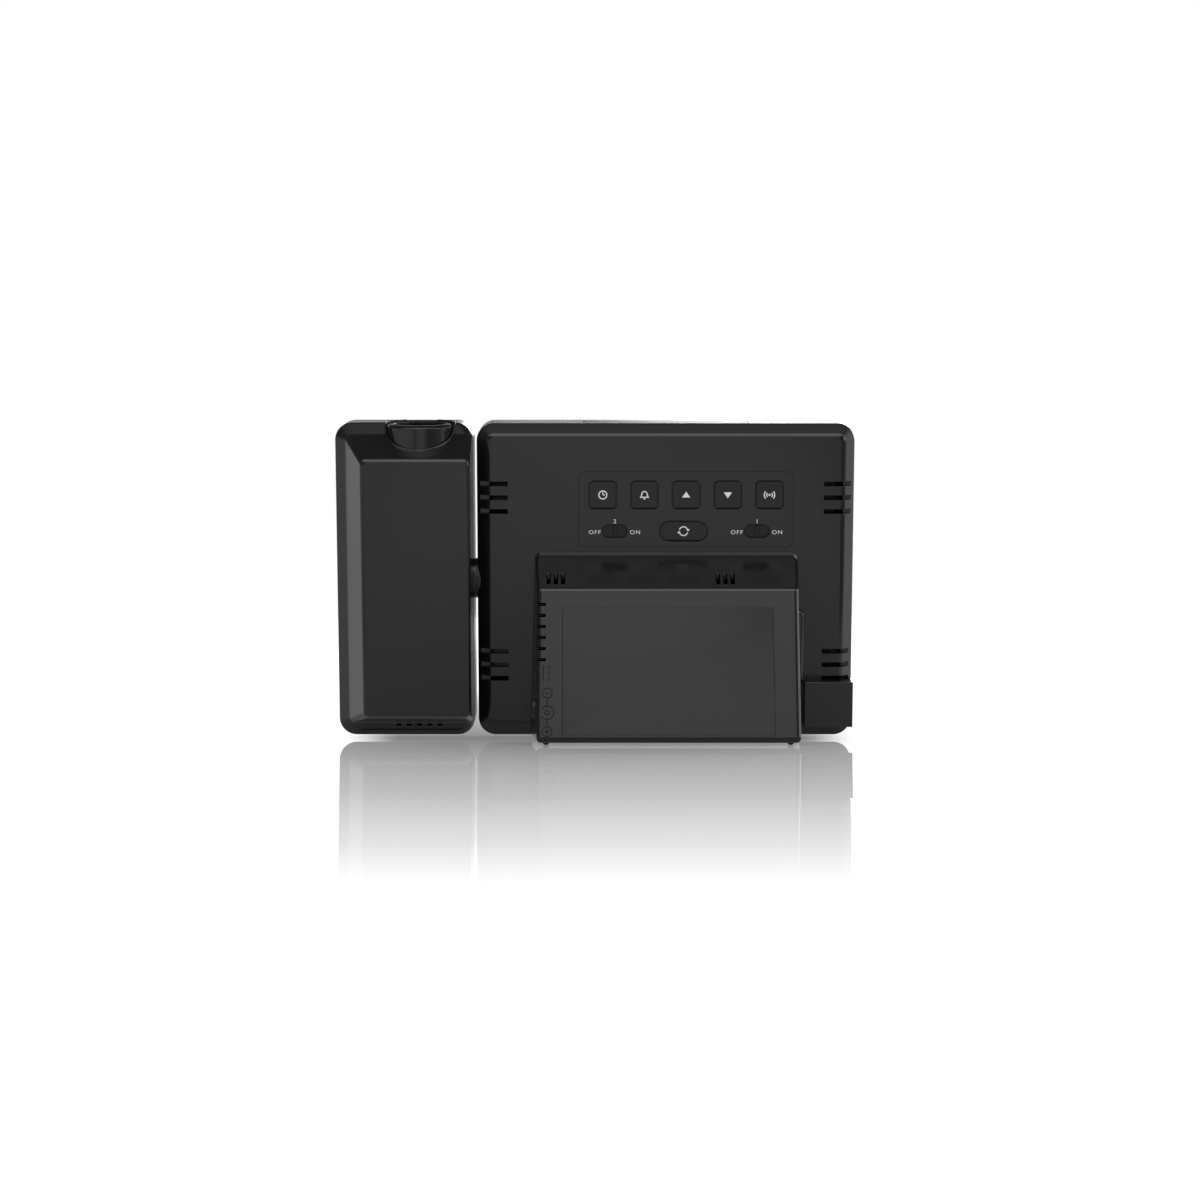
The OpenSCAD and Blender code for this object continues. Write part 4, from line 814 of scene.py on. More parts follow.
class Sign:
    """Printed strokes on a face seen from behind; across runs to the viewer's right."""

    def __init__(self, x, z, y, width=PRINT_W):
        self.x, self.z, self.y, self.width = x, z, y, width
        self.parts = []

    def bar(self, start, end, width=None):
        """A straight stroke between two points (across, up)."""
        start, end = Vector(start), Vector(end)
        width = width or self.width
        length = (end - start).length
        bm = plate(0, 0, length, width, 0, PRINT_T)
        turn = math.atan2(end.y - start.y, end.x - start.x)
        middle = (start + end) / 2
        self.parts.append(moved(bm, Matrix.Translation((-middle.x, 0, middle.y))
                                @ Matrix.Rotation(turn, 4, "Y") @ Matrix.Scale(-1, 4, (1, 0, 0))))
        bmesh.ops.reverse_faces(bm, faces=bm.faces)

    def arc(self, middle, radius, start, sweep, width=None):
        """A bent stroke; angles are in degrees from the right, counted upwards."""
        width = width or self.width
        across, up = middle
        bm = bmesh.new()
        corners = [(radius - width / 2, 0), (radius + width / 2, 0),
                   (radius + width / 2, PRINT_T), (radius - width / 2, PRINT_T)]
        verts = [bm.verts.new((-r, y, 0)) for r, y in corners]
        face = bm.faces.new(verts)
        bmesh.ops.rotate(bm, verts=bm.verts, cent=(0, 0, 0),
                         matrix=Matrix.Rotation(math.radians(start), 3, "Y"))
        full = abs(sweep) >= 360
        if full:
            bmesh.ops.delete(bm, geom=[face], context="FACES_ONLY")
        bmesh.ops.spin(bm, geom=list(bm.faces) + list(bm.edges) + verts, cent=(0, 0, 0),
                       axis=(0, 1, 0), angle=math.radians(sweep),
                       steps=max(3, round(abs(sweep) / ARC_STEP)), use_merge=full)
        bmesh.ops.remove_doubles(bm, verts=bm.verts, dist=MERGE)
        bmesh.ops.recalc_face_normals(bm, faces=bm.faces)
        self.parts.append(moved(bm, Matrix.Translation((-across, 0, up))))

    def dot(self, across, up, radius):
        """A filled disc."""
        size = 2 * radius
        self.parts.append(plate(-across, up, size, size, 0, PRINT_T, 0.99 * radius, 5))

    def wedge(self, points):
        """A filled triangle or other flat outline."""
        outline = [(-across, 0, up) for across, up in points]
        self.parts.append(flat_piece(outline, PRINT_T))

    def word(self, text, size, across=0, up=0, stretch=1.08):
        """Plain letters or digits, centred."""
        curve = bpy.data.curves.new("word", "FONT")
        curve.body = text
        curve.size = size * CAPITALS
        curve.extrude = PRINT_T / 2
        curve.space_character = LETTER_SPACE
        curve.align_x = "CENTER"
        writer = bpy.data.objects.new("word", curve)
        bpy.context.scene.collection.objects.link(writer)
        bpy.context.view_layer.update()
        mesh = writer.evaluated_get(bpy.context.evaluated_depsgraph_get()).to_mesh()
        bm = bmesh.new()
        bm.from_mesh(mesh)
        bpy.data.objects.remove(writer)
        bpy.data.curves.remove(curve)
        bmesh.ops.remove_doubles(bm, verts=bm.verts, dist=1e-5)
        upright = Matrix(((-stretch, 0, 0, 0), (0, 0, 1, 0), (0, 1, 0, 0), (0, 0, 0, 1)))
        middle = Matrix.Translation((-across, PRINT_T / 2, up - size / 2))
        self.parts.append(moved(bm, middle @ upright))

    def printed(self, name, body, place=CASE, slot="keys", material=INK):
        """The finished sign, as one piece."""
        bm = moved(together(*self.parts), Matrix.Translation((self.x, self.y, self.z)))
        return made(name, bm, place, body, slot, material)


def key_signs():
    """A sign on each key: clock, bell, up, down, radio waves and a turning arrow."""
    top = CASE_T + KEY_PROUD
    clock = Sign(KEY_X["time"], KEY_Z, top)
    clock.arc((0, 0), 1.45, 0, 360)
    clock.bar((0, -0.2), (0, 0.95))
    clock.bar((-0.2, 0), (0.75, 0))
    clock.printed("clock_sign", "time_key")
    bell = Sign(KEY_X["alarm"], KEY_Z, top)
    bell.arc((0, 0.3), 0.95, 0, 180)
    for start, end in (((-0.95, 0.35), (-1.25, -0.75)), ((0.95, 0.35), (1.25, -0.75)),
                       ((-1.65, -0.85), (1.65, -0.85)), ((-0.4, -1.4), (0.4, -1.4))):
        bell.bar(start, end)
    bell.printed("bell_sign", "alarm_key")
    for name, way in (("up", 1), ("down", -1)):
        sign = Sign(KEY_X[name], KEY_Z, top)
        sign.wedge([(-1.5, -0.95 * way), (1.5, -0.95 * way), (0, 1.25 * way)])
        sign.printed(name + "_sign", name + "_key")
    waves = Sign(KEY_X["wave"], KEY_Z, top)
    waves.dot(0, 0, 0.4)
    for radius in (1.05, 1.9):
        for start in (-42, 138):
            waves.arc((0, 0), radius, start, 84)
    waves.printed("waves_sign", "wave_key")
    turn = Sign(ROTATE.x, LOWER_Z, top)
    for start in (20, 200):
        turn.arc((0, 0), 1.6, start, 140)
    turn.wedge([(1.0, 0.75), (2.3, 0.75), (1.6, -0.2)])
    turn.wedge([(-1.0, -0.75), (-2.3, -0.75), (-1.6, 0.2)])
    turn.printed("turn_sign", "rotate_key")


def switch_signs():
    """A digit over each knob, with OFF and ON to its left and right."""
    digit_up, word_up, word_off = 3.6, -0.4, 7.4
    for number, x in SWITCH_X.items():
        sign = Sign(x, LOWER_Z, CASE_T)
        sign.word(str(number), 1.55, 0, digit_up)
        sign.word("OFF", 1.45, -word_off, word_up, stretch=1.15)
        sign.word("ON", 1.45, word_off, word_up, stretch=1.15)
        sign.printed(f"switch_signs_{number}", "case", slot="shell")


# ---------------------------------------------------------------- display

SEGMENTS = {"0": "abcdef", "1": "bc", "2": "abged", "3": "abgcd", "4": "fgbc", "5": "afgcd",
            "6": "afgedc", "7": "abc", "8": "abcdefg", "9": "abcdfg"}
DIGIT_GAP, DIGIT_T = 0.005, 0.05
TIME_UP, LOW_ROW = 8, -24
# Digits, their height, their middle above the display's, and their places across
DIGIT_ROWS = [("1008", 27, TIME_UP, (-32, -13, 13, 32)),
              ("2406", 11, LOW_ROW, (-40, -32, -18, -10)), ("21", 11, LOW_ROW, (24, 32))]


def segment_bar(x, z, length, width, upright, y0, y1):
    """One pointed display segment."""
    half, tip = length / 2, width / 2
    outline = [(-half, 0), (-half + tip, tip), (half - tip, tip),
               (half, 0), (half - tip, -tip), (-half + tip, -tip)]
    if upright:
        outline = [(b, a) for a, b in outline]
    return flat_piece([(x + a, y0, z + b) for a, b in outline], y1 - y0)


def digit_bars(digit, x, z, height, y0, y1):
    """The lit segments of one digit, seen from the front."""
    width, stroke = height * 0.52, height * 0.105
    reach, half = width / 2, height / 4
    places = {"a": (0, 2 * half, 0), "g": (0, 0, 0), "d": (0, -2 * half, 0),
              "b": (reach, half, 1), "c": (reach, -half, 1),
              "f": (-reach, half, 1), "e": (-reach, -half, 1)}
    bars = []
    for letter in SEGMENTS[digit]:
        dx, dz, upright = places[letter]
        length = (2 * half if upright else width) - stroke * 0.35
        bars.append(segment_bar(x + dx, z + dz, length, stroke, upright, y0, y1))
    return bars


def display_digits():
    """A time, a date and a room temperature in plain seven-bar digits."""
    low, high = local_box("lcd_panel", CASE)
    middle = (low + high) / 2
    y1 = low.y - DIGIT_GAP
    y0 = y1 - DIGIT_T
    bars = []
    for digits, height, up, places in DIGIT_ROWS:
        for digit, dx in zip(digits, places):
            bars += digit_bars(digit, middle.x + dx, middle.z + up, height, y0, y1)
    for dz in (-5, 5):
        bars.append(plate(middle.x, middle.z + TIME_UP + dz, 3.0, 3.0, y0, y1, 1.45, 6))
    bars.append(plate(middle.x - 25, middle.z + LOW_ROW, 3.0, 1.1, y0, y1))
    degree = turned([(1.0, 0), (1.7, 0), (1.7, DIGIT_T), (1.0, DIGIT_T)], (0, 0, 0), 24)
    bars.append(moved(degree, Matrix.Translation((middle.x + 39, y0, middle.z + LOW_ROW + 4))
                      @ Matrix.Rotation(-math.pi / 2, 4, "X")))
    return made("display_digits", together(*bars), CASE, "case", "display", DIGITS)


# ---------------------------------------------------------------- stand

STAND_CORNER_R = 2.9
STAND_FOOT_R = 1.8
BODY_CORNER_R = 3.2
INTO_CASE = 4.0                  # how far the stand's shape starts inside the case
STEP = 0.04                      # what the wedge stands back from the edge of its plate

# The plate on the case: its thickness, the foot of the wedge on it, and its sloped rim
LIP_T, LIP_FOOT, LIP_OVER = 1.0, 67.75, 0.3
LIP_SLOPE, LIP_FALL, LIP_SOFT = 0.9, 0.64, 0.1

# Fillets of the wedge: its rim, the bend over its face, and its foot. The rim is narrow at
# both ends, and widens by a share of the distance from there until it is full.
RIM_SOFT, FACE_SOFT, FOOT_SOFT = 1.9, 0.98, 0.5
FOOT_RIM, TOP_RIM, RIM_STEPS = 0.35, 0.9, 6
RIM_END, FOOT_GROWTH, TOP_GROWTH = 2.5, 0.4, 0.5

DOOR_GAP, DOOR_END_GAP, DOOR_LEDGE = 0.05, 0.02, 2.2
DOOR_SOFT, DOOR_FOOT_SOFT, DOOR_CORNER_R = 0.08, 0.75, 0.45
DOOR_SWING = 1.16                # radius of the room in which the door's lower edge turns
SLOPE_SLOTS = (CASE_MID + 40.1, CASE_MID - 20.9)
SLOPE_SLOT = (1.5, 6.7)
SLOPE_SLOT_Y, SLOPE_PITCH = 5.8, 2.6
SIDE_SLOT_Z, SIDE_PITCH, SIDE_SLOT_H, SIDE_SLOT_IN = 40, 3.92, 1.1, 3.2
BEYOND = 5                       # overrun of cuts through the stand's corners and sides
JACK_HOLE_R = 3.6


def stand_cavity():
    """Inside of the stand, open towards the case: a side view, drawn out to both sides."""
    front = 3 * INTO_CASE
    points = [(plane_y(STAND_BASE) - front, STAND_BASE), (STAND_REACH - BASE_EDGE, STAND_BASE),
              (STAND_REACH, STAND_BASE + BASE_EDGE), (STAND_REACH - FACE_LEAN, FACE_TOP),
              (plane_y(STAND_TOP) + TOP_EDGE, STAND_TOP), (plane_y(STAND_TOP) - front, STAND_TOP)]
    bm = bmesh.new()
    side = bm.faces.new([bm.verts.new((0, y, z)) for y, z in points])
    bm.normal_update()
    bmesh.ops.inset_region(bm, faces=[side], thickness=STAND_WALL, use_even_offset=True,
                           use_boundary=True)
    bmesh.ops.delete(bm, geom=[f for f in bm.faces if f != side], context="FACES")
    draw_out(bm, side, (1, 0, 0))
    for vert in bm.verts:
        way = 1 if vert.co.x > 0.5 else -1
        vert.co.x = CASE_MID + way * side_half(vert.co.y, vert.co.z, STAND_WALL)
    bmesh.ops.recalc_face_normals(bm, faces=bm.faces)
    return bm


def stand_block(inset, top, upper_r):
    """The stand in rear view, from inside the case to its full reach, and its rear face."""
    bm = block((CASE_MID - STAND_HALF, plane_y(STAND_BASE) - INTO_CASE, STAND_BASE + inset),
               (CASE_MID + STAND_HALF, STAND_REACH, top))
    for radius, side in ((upper_r, 1), (STAND_FOOT_R, -1)):
        corners = sorted(edges_along(bm, DEPTH), key=lambda e: -side * e.verts[0].co.z)[:2]
        bevel(bm, corners, radius, 10)
    return bm, rear_face(bm)


def tapered(bm, inset):
    """Narrows the stand towards its rear and its top."""
    for vert in bm.verts:
        off = (vert.co.x - CASE_MID) * side_half(vert.co.y, vert.co.z, inset)
        vert.co.x = CASE_MID + off / STAND_HALF
    return bm


def wedge_profile(segments=6):
    """Rear side of the wedge from top to foot, as (height, depth, outward y of its normal).
    Both ends run on a little, past the height of the wedge."""
    start = Vector((plane_y(LIP_FOOT) + LIP_T, LIP_FOOT))
    bend = Vector((STAND_REACH - FACE_LEAN, FACE_TOP))
    foot = Vector((STAND_REACH, STAND_BASE + BASE_EDGE))
    end = foot - Vector((BASE_EDGE, BASE_EDGE))
    start += (start - bend) * 0.3
    end += (end - foot) * 0.5

    def normal(p, q):
        along = (q - p).normalized()
        return Vector((-along.y, along.x))
    points = [(start.y, start.x, normal(start, bend).x)]
    for before, corner, after, soft in ((start, bend, foot, FACE_SOFT),
                                        (bend, foot, end, FOOT_SOFT)):
        first, last = normal(before, corner), normal(corner, after)
        radius = soft / math.tan(first.angle(last) / 2)
        middle = corner + (before - corner).normalized() * soft - first * radius
        for step in range(segments + 1):
            out = first.slerp(last, step / segments)
            point = middle + out * radius
            points.append((point.y, point.x, out.x))
    points.append((end.y, end.x, normal(foot, end).x))
    return points


def on_profile(points, height):
    """Depth and outward y at a height."""
    for (z0, y0, n0), (z1, y1, n1) in zip(points, points[1:]):
        if height >= z1:
            share = (height - z0) / (z1 - z0)
            return y0 + (y1 - y0) * share, n0 + (n1 - n0) * share
    return points[-1][1:]


def stand_form():
    """Outside of the stand: a wedge with a rounded rim, on a thin plate that lies on the case."""
    top, low = LIP_FOOT + LIP_OVER, STAND_BASE + STEP
    bm, rear = stand_block(STEP, top, BODY_CORNER_R)
    steps = [RIM_SOFT * (1 - math.cos(math.radians(90 / RIM_STEPS * step)))
             for step in range(RIM_STEPS + 1)]
    for inner, outer in zip(steps[1:], steps):
        bmesh.ops.inset_region(bm, faces=[rear], thickness=inner - outer, use_even_offset=True)
    points = wedge_profile()
    for height, _, _ in points[1:-1]:
        cap = [f for f in bm.faces if min(v.co.y for v in f.verts) > STAND_REACH - NEAR]
        edges = dict.fromkeys(e for f in cap for e in f.edges)
        verts = dict.fromkeys(v for f in cap for v in f.verts)
        bmesh.ops.bisect_plane(bm, geom=[*cap, *edges, *verts], dist=MERGE,
                               plane_co=(0, 0, height), plane_no=(0, 0, 1))

    def from_edge(x, z):
        """Distance from the rounded outline in rear view."""
        radius = BODY_CORNER_R if z > FACE_TOP else STAND_FOOT_R
        over_x = abs(x - CASE_MID) - (STAND_HALF - radius)
        over_z = max(z - top, low - z) + radius
        if over_x > 0 and over_z > 0:
            return radius - math.hypot(over_x, over_z)
        return min(STAND_HALF - abs(x - CASE_MID), top - z, z - low)
    for vert in bm.verts:
        if vert.co.y > STAND_REACH - NEAR:
            depth, outward = on_profile(points, vert.co.z)
            soft = min(FOOT_RIM + max(0, vert.co.z - RIM_END) * FOOT_GROWTH,
                       TOP_RIM + max(0, top - RIM_END - vert.co.z) * TOP_GROWTH, RIM_SOFT)
            away = min(1, max(0, 1 - from_edge(vert.co.x, vert.co.z) / soft))
            vert.co.y = depth - soft * (1 - math.sqrt(1 - away ** 2)) / outward
    lip, lip_rear = stand_block(0, STAND_TOP, STAND_CORNER_R)
    for vert in lip_rear.verts:
        vert.co.y = plane_y(vert.co.z) + LIP_T - LIP_FALL
    outer = list(lip_rear.edges)
    bmesh.ops.inset_region(lip, faces=[lip_rear], thickness=LIP_SLOPE, depth=LIP_FALL,
                           use_even_offset=True)
    lip = soften(lip, [(LIP_SOFT, outer + list(lip_rear.edges))], 3)
    return combine(tapered(bm, STEP), "UNION", tapered(lip, 0))


def slope_slots():
    """Two groups of three slots in the slope, with round ends."""
    width, length = SLOPE_SLOT
    y = STAND_REACH - FACE_LEAN - SLOPE_SLOT_Y
    places = [x + row * SLOPE_PITCH for x in SLOPE_SLOTS for row in (-1, 0, 1)]
    return together(*[block((x - width / 2, y - length / 2, FACE_TOP - BEYOND),
                            (x + width / 2, y + length / 2, STAND_TOP), 0.7, 6, UP)
                      for x in places])


def side_slots():
    """Six slots round the rear corner."""
    rows = [SIDE_SLOT_Z + (row - 2.5) * SIDE_PITCH for row in range(6)]
    half = SIDE_SLOT_H / 2
    return together(*[block((CASE_MID + side_half(face_y(z), z, SIDE_SLOT_IN),
                             face_y(z) - BEYOND, z - half),
                            (CASE_MID + STAND_HALF + BEYOND, STAND_REACH + BEYOND, z + half),
                            0.5, 4, SIDE) for z in rows])


DOOR_LOW, DOOR_HIGH = local_box("battery_door", FACE)


def door_cut():
    """Seat of the door, the opening behind it and the room in which the door's lower edge turns."""
    gap = Vector((DOOR_GAP, 0, DOOR_END_GAP))
    ledge = Vector((DOOR_LEDGE, 0, DOOR_LEDGE))
    behind = Vector((0, 10, 0))
    seat = block(DOOR_LOW - gap - Vector((0, 0.1, 0)), DOOR_HIGH + gap + behind, 0.5, 3)
    opening = block(DOOR_LOW + ledge - Vector((0, STAND_WALL, 0)), DOOR_HIGH - ledge + behind)
    pin = DOOR_LOW + Vector((0, 1, 1)) * (DOOR_HIGH.y - DOOR_LOW.y) / 2
    swing = rod(DOOR_SWING, (DOOR_LOW.x - DOOR_GAP, pin.y, pin.z),
                (DOOR_HIGH.x + DOOR_GAP, pin.y, pin.z), SIDE, 64)
    return [moved(part, STAND.inverted() @ FACE) for part in (seat, opening, swing)]


def power_marks():
    """Signs beside the door: direct current and the plug's polarity."""
    minus, pin, plus = 16.3, 9.2, 2.4
    ring_r, stroke = 1.75, 0.9
    sign = Sign(DOOR_HIGH.x + 5.4, 0, DOOR_HIGH.y - NEAR, 0.36)
    sign.bar((-1.5, 26.3), (-1.5, 20.6))
    for start in (26.3, 24.15, 22.0):
        sign.bar((0.6, start), (0.6, start - 1.4))
    for up in (minus, plus):
        sign.arc((0, up), ring_r, 0, 360)
        sign.bar((-stroke, up), (stroke, up))
    sign.bar((0, plus - stroke), (0, plus + stroke))
    sign.bar((0, 14.5), (0, 11.5))
    sign.arc((0, pin), 0.75, 0, 360)
    sign.arc((0, pin), 2.4, -145, 290)
    sign.bar((0, 6.8), (0, 4.2))
    sign.printed("power_marks", "case", FACE, "stand", MARK)


def stand_body():
    """The stand's housing with its cavity, slots, door seat and the hole of its socket."""
    jack_low, jack_high = local_box("dc_jack", STAND)
    jack = (jack_low + jack_high) / 2
    leaning = STAND.inverted() @ CASE
    case_side = moved(block((CASE_LOW.x, -CUT, -3 * INTO_CASE), (CASE_HIGH.x, CASE_T, CASE_H)),
                      leaning)
    jack_hole = rod(JACK_HOLE_R, (jack_high.x - BEYOND, jack.y, jack.z),
                    (jack_high.x + BEYOND, jack.y, jack.z), SIDE, 48)
    bm = combine(stand_form(), "DIFFERENCE", case_side, stand_cavity(), slope_slots(),
                 side_slots(), jack_hole, moved(wire_way(WAY_PLAY), leaning), *door_cut())

    def on_outside(point):
        depth = point.y - face_y(point.z)
        return point.z > FACE_TOP - 3 and depth > -9 or depth > -0.05
    bevel(bm, sharp_edges(bm, on_outside, 60), SLOT_SOFT, 2)
    return made("stand_body", bm, STAND, "case", "stand", SHADED_STAND_SHELL, "stand_housing")


def battery_cover():
    """The battery door. Its inner lower edge is rounded, so that it can turn."""
    bm = block(DOOR_LOW, DOOR_HIGH, DOOR_CORNER_R, 3)
    foot = [e for e in edges_along(bm, SIDE) if e.verts[0].co.z < DOOR_LOW.z + NEAR
            and e.verts[0].co.y < DOOR_LOW.y + NEAR]
    bevel(bm, foot, DOOR_FOOT_SOFT, 4)
    sides = [e for e in edges_along(bm, UP) if e.verts[0].co.y > DOOR_HIGH.y - NEAR]
    bevel(bm, sides, DOOR_SOFT, 2)
    return made("battery_cover", bm, FACE, "door", "stand", SHADED_STAND_SHELL, "battery_door")


def power_socket():
    """Power socket: a square body with a round nose in the stand's side."""
    low, high = local_box("dc_jack", STAND)
    middle = (low + high) / 2
    bore, body_length = 2.8, 11.6
    nose = turned([(bore, -6), (3.2, -6), (3.4, -5.8), (3.4, -0.25), (3.2, 0), (3.0, 0),
                   (bore, -0.2)], (0, 0, 0), 64)
    nose = moved(nose, Matrix.Translation((high.x, middle.y, middle.z))
                 @ Matrix.Rotation(math.pi / 2, 4, "Y"))
    body = block(low, (low.x + body_length, high.y, high.z), 0.4, 3, SIDE)
    hole = rod(bore, (high.x - 10, middle.y, middle.z), (high.x + CUT, middle.y, middle.z), SIDE)
    bm = combine(combine(body, "DIFFERENCE", hole), "UNION", nose)
    return made("power_socket", bm, STAND, "case", "inner", INNER, "dc_jack")


def rear_feet():
    """Two small pips that the stand rests on."""
    low, high = local_box("rear_feet", STAND)
    radius, height = (high.y - low.y) / 2, high.z - low.z
    dome = [(0, 0), (0.4, 0.03), (0.8, 0.2), (1.1, 0.5), (1.25, 0.95), (radius, 1.05),
            (radius, height), (0, height)]
    parts = [turned(dome, (x, (low.y + high.y) / 2, low.z), 48)
             for x in (low.x + radius, high.x - radius)]
    return made("rear_rubber_feet", together(*parts), STAND, "case", "rubber", RUBBER, "rear_feet")


def front_feet():
    """Rubber feet with a rounded tread."""
    bm = bmesh.new()
    bm.from_mesh(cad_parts["front_feet"].data)
    bmesh.ops.remove_doubles(bm, verts=bm.verts, dist=1e-6)
    bmesh.ops.dissolve_limit(bm, angle_limit=0.01, verts=bm.verts, edges=bm.edges)
    moved(bm, STAND.inverted() @ Matrix.Scale(1 / MM, 4))
    bevel(bm, [e for e in bm.edges if all(v.co.z < NEAR for v in e.verts)], 0.4, 3)
    return made("front_rubber_feet", bm, STAND, "case", "rubber", RUBBER, "front_feet")


# ---------------------------------------------------------------- projector arm

LENS = Vector((middle_of("focus_ring").x, middle_of("focus_ring").y, 0))
RING_LOW, RING_HIGH = local_box("focus_ring", CASE)
WELL_FLOOR = RING_LOW.z - 0.2
BARREL_R, SHAFT_R = 11.05, 3.55
BOTTOM_SLOTS, SLOT_PITCH, SLOT_MIDDLE = 5, 3.8, 1.2
BEAD_SOFT = 0.3
TOP_SOFT, OUTER_SOFT, INNER_SOFT, BEND_SOFT = 1.35, 0.95, 1.2, 0.6


def well(bottom, radius=WELL_R):
    """A round cut from above, about the lens."""
    return rod(radius, (LENS.x, LENS.y, bottom), (LENS.x, LENS.y, CASE_H + 5), UP, 144)


def arm_form():
    """Outside of the arm's rear shell: a chamfered base that carries a hump with sloped sides."""
    middle_x, middle_z = (ARM_LOW.x + ARM_HIGH.x) / 2, CASE_H / 2
    bm, back = shell_form((ARM_LOW.x, FRONT_DEPTH, 0), (ARM_HIGH.x, CASE_T, CASE_H),
                          CORNER_R, BACK_CHAMFER, FOOT_CHAMFER, draft=ARM_DRAFT)
    inner = [v for v in back.verts if v.co.x < middle_x]
    bmesh.ops.translate(bm, verts=inner, vec=(SIDE_DRAFT - BACK_CHAMFER, 0, 0))
    hump = bmesh.ops.extrude_discrete_faces(bm, faces=[back])["faces"][0]
    for vert in hump.verts:
        outer = HUMP_SIDE if vert.co.x > middle_x else -SIDE_DRAFT
        rise = HUMP_FOOT if vert.co.z < middle_z else -HUMP_TOP
        vert.co += Vector((-outer, HUMP_RISE, rise))

    def width(edge):
        """The fillet changes smoothly from the ends of the hump to its sides."""
        start, end = (v.co for v in edge.verts)
        upright = abs(end.z - start.z) / (end - start).length
        side = OUTER_SOFT if (start.x + end.x) / 2 > middle_x else INNER_SOFT
        return TOP_SOFT + (side - TOP_SOFT) * upright ** 2
    return soften(bm, [(width, hump.edges), (BEND_SOFT, edges_at(bm, DEPTH, CASE_T)),
                       *rear_rims(bm)], 5)


def arm_rear():
    """Rear shell of the arm: hollow up to a roof, over which the lens barrel has its well."""
    roof = WELL_FLOOR - 1.2
    inner_y = CASE_T - ARM_WALL
    low_room = block((ARM_LOW.x + ARM_WALL, FRONT_DEPTH - CUT, ARM_WALL),
                     (ARM_HIGH.x - ARM_WALL - BACK_CHAMFER + 1, inner_y, roof),
                     CORNER_R - ARM_WALL, 6)
    hump_room = block((ARM_LOW.x + 2 * SIDE_DRAFT + ARM_WALL, inner_y - CUT, 12),
                      (ARM_HIGH.x - BACK_CHAMFER - HUMP_SIDE - 2,
                       CASE_T + HUMP_RISE - ARM_WALL, 99), 1.0, 4)
    slots = [plate(LENS.x + SLOT_MIDDLE + (place - 2) * SLOT_PITCH, 4.5, 2.0, 1.0,
                   CASE_T - 5.5, CASE_T + 3, 0.45, 4) for place in range(BOTTOM_SLOTS)]
    bead = combine(well(WELL_FLOOR, WELL_R + BEAD_W), "INTERSECT",
                   moved(arm_form(), Matrix.Translation(BEAD_RISE)))
    bm = combine(arm_form(), "UNION", collar(ARM_LOW.x - 0.8, ARM_LOW.x + CUT), bead)
    bm = combine(bm, "DIFFERENCE", combine(low_room, "UNION", hump_room), well(WELL_FLOOR),
                 rod(BARREL_R, (LENS.x, LENS.y, 43), (LENS.x, LENS.y, CASE_H), UP, 96),
                 swivel_rod(SHAFT_R, ARM_LOW.x - 2, ARM_LOW.x + 4, 48), together(*slots))

    def on_bead(point):
        off = (point.xy - LENS.xy).length - WELL_R
        return point.z > WELL_FLOOR + 0.1 and min(abs(off), abs(off - BEAD_W)) < 0.02
    bevel(bm, sharp_edges(bm, on_bead, 30), BEAD_SOFT, 5)
    return made("arm_rear_cover", bm, CASE, "arm", "shell", SHELL, "arm_rear_shell")


def arm_front():
    """Front shell of the arm."""
    room = block((ARM_LOW.x + ARM_WALL, ARM_WALL, ARM_WALL),
                 (ARM_HIGH.x - ARM_WALL, CASE_T, CASE_H - ARM_WALL), CORNER_R - ARM_WALL, 6)
    bm = combine(front_half(ARM_LOW.x, ARM_HIGH.x), "DIFFERENCE", room, well(WELL_FLOOR))
    return made("arm_front_cover", bm, CASE, "arm", "shell", SHELL, "arm_front_shell")


# Rounding of the ring's outer mouth, inwards and down from its top corner
RING_MOUTH = [(0, 1.15), (0.04, 0.98), (0.16, 0.8), (0.32, 0.62), (1.0, 0.1), (1.15, 0.02),
              (1.3, 0)]
BAFFLES, BAFFLE_STEP, BAFFLE_FALL = 5, 0.06, 0.2


def focus_ring():
    """The ring that is turned to focus: smooth outside, with a rounded mouth."""
    radius = (RING_HIGH.x - RING_LOW.x) / 2
    height = RING_HIGH.z - RING_LOW.z
    neck, bore, step = 11.06, 9.5, 4.2
    profile = [(neck, 0), (radius - 0.3, 0), (radius, 0.3)]
    profile += [(radius - inset, height - drop) for inset, drop in RING_MOUTH]
    profile += [(bore + 0.25, height), (bore + 0.08, height - 0.06), (bore, height - 0.25),
                (bore, step), (neck, step)]
    bm = turned(profile, (LENS.x, LENS.y, RING_LOW.z), 144)
    return made("focus_wheel", bm, CASE, "focus", "ring", RING, "focus_ring")


def lens_carrier():
    """Sliding tube with fine baffle rings in front of the lens."""
    low, high = local_box("lens_carrier", CASE)
    outer, bore, ledge = (high.x - low.x) / 2, 8.25, 7.4
    length = high.z - low.z
    seat = length - 5.6
    profile = [(ledge, 0), (outer, 0), (outer, length - 0.2), (outer - 0.2, length),
               (bore + 0.35, length)]
    for step in range(BAFFLES):
        z, radius = length - BAFFLE_FALL * step, bore + 0.3 - BAFFLE_STEP * step
        profile += [(radius, z - 0.1), (radius, z - 0.18)]
    profile += [(bore, length - 1.2), (bore, seat), (ledge, seat)]
    bm = turned(profile, (LENS.x, LENS.y, low.z), 96)
    return made("lens_tube", bm, CASE, "carrier", "ring", RING, "lens_carrier")


# ---------------------------------------------------------------- pieces kept as built

def finish_node(node, material):
    """Gives a node that keeps its shape its finish."""
    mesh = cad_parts[node].data
    mesh.materials.clear()
    mesh.materials.append(material)


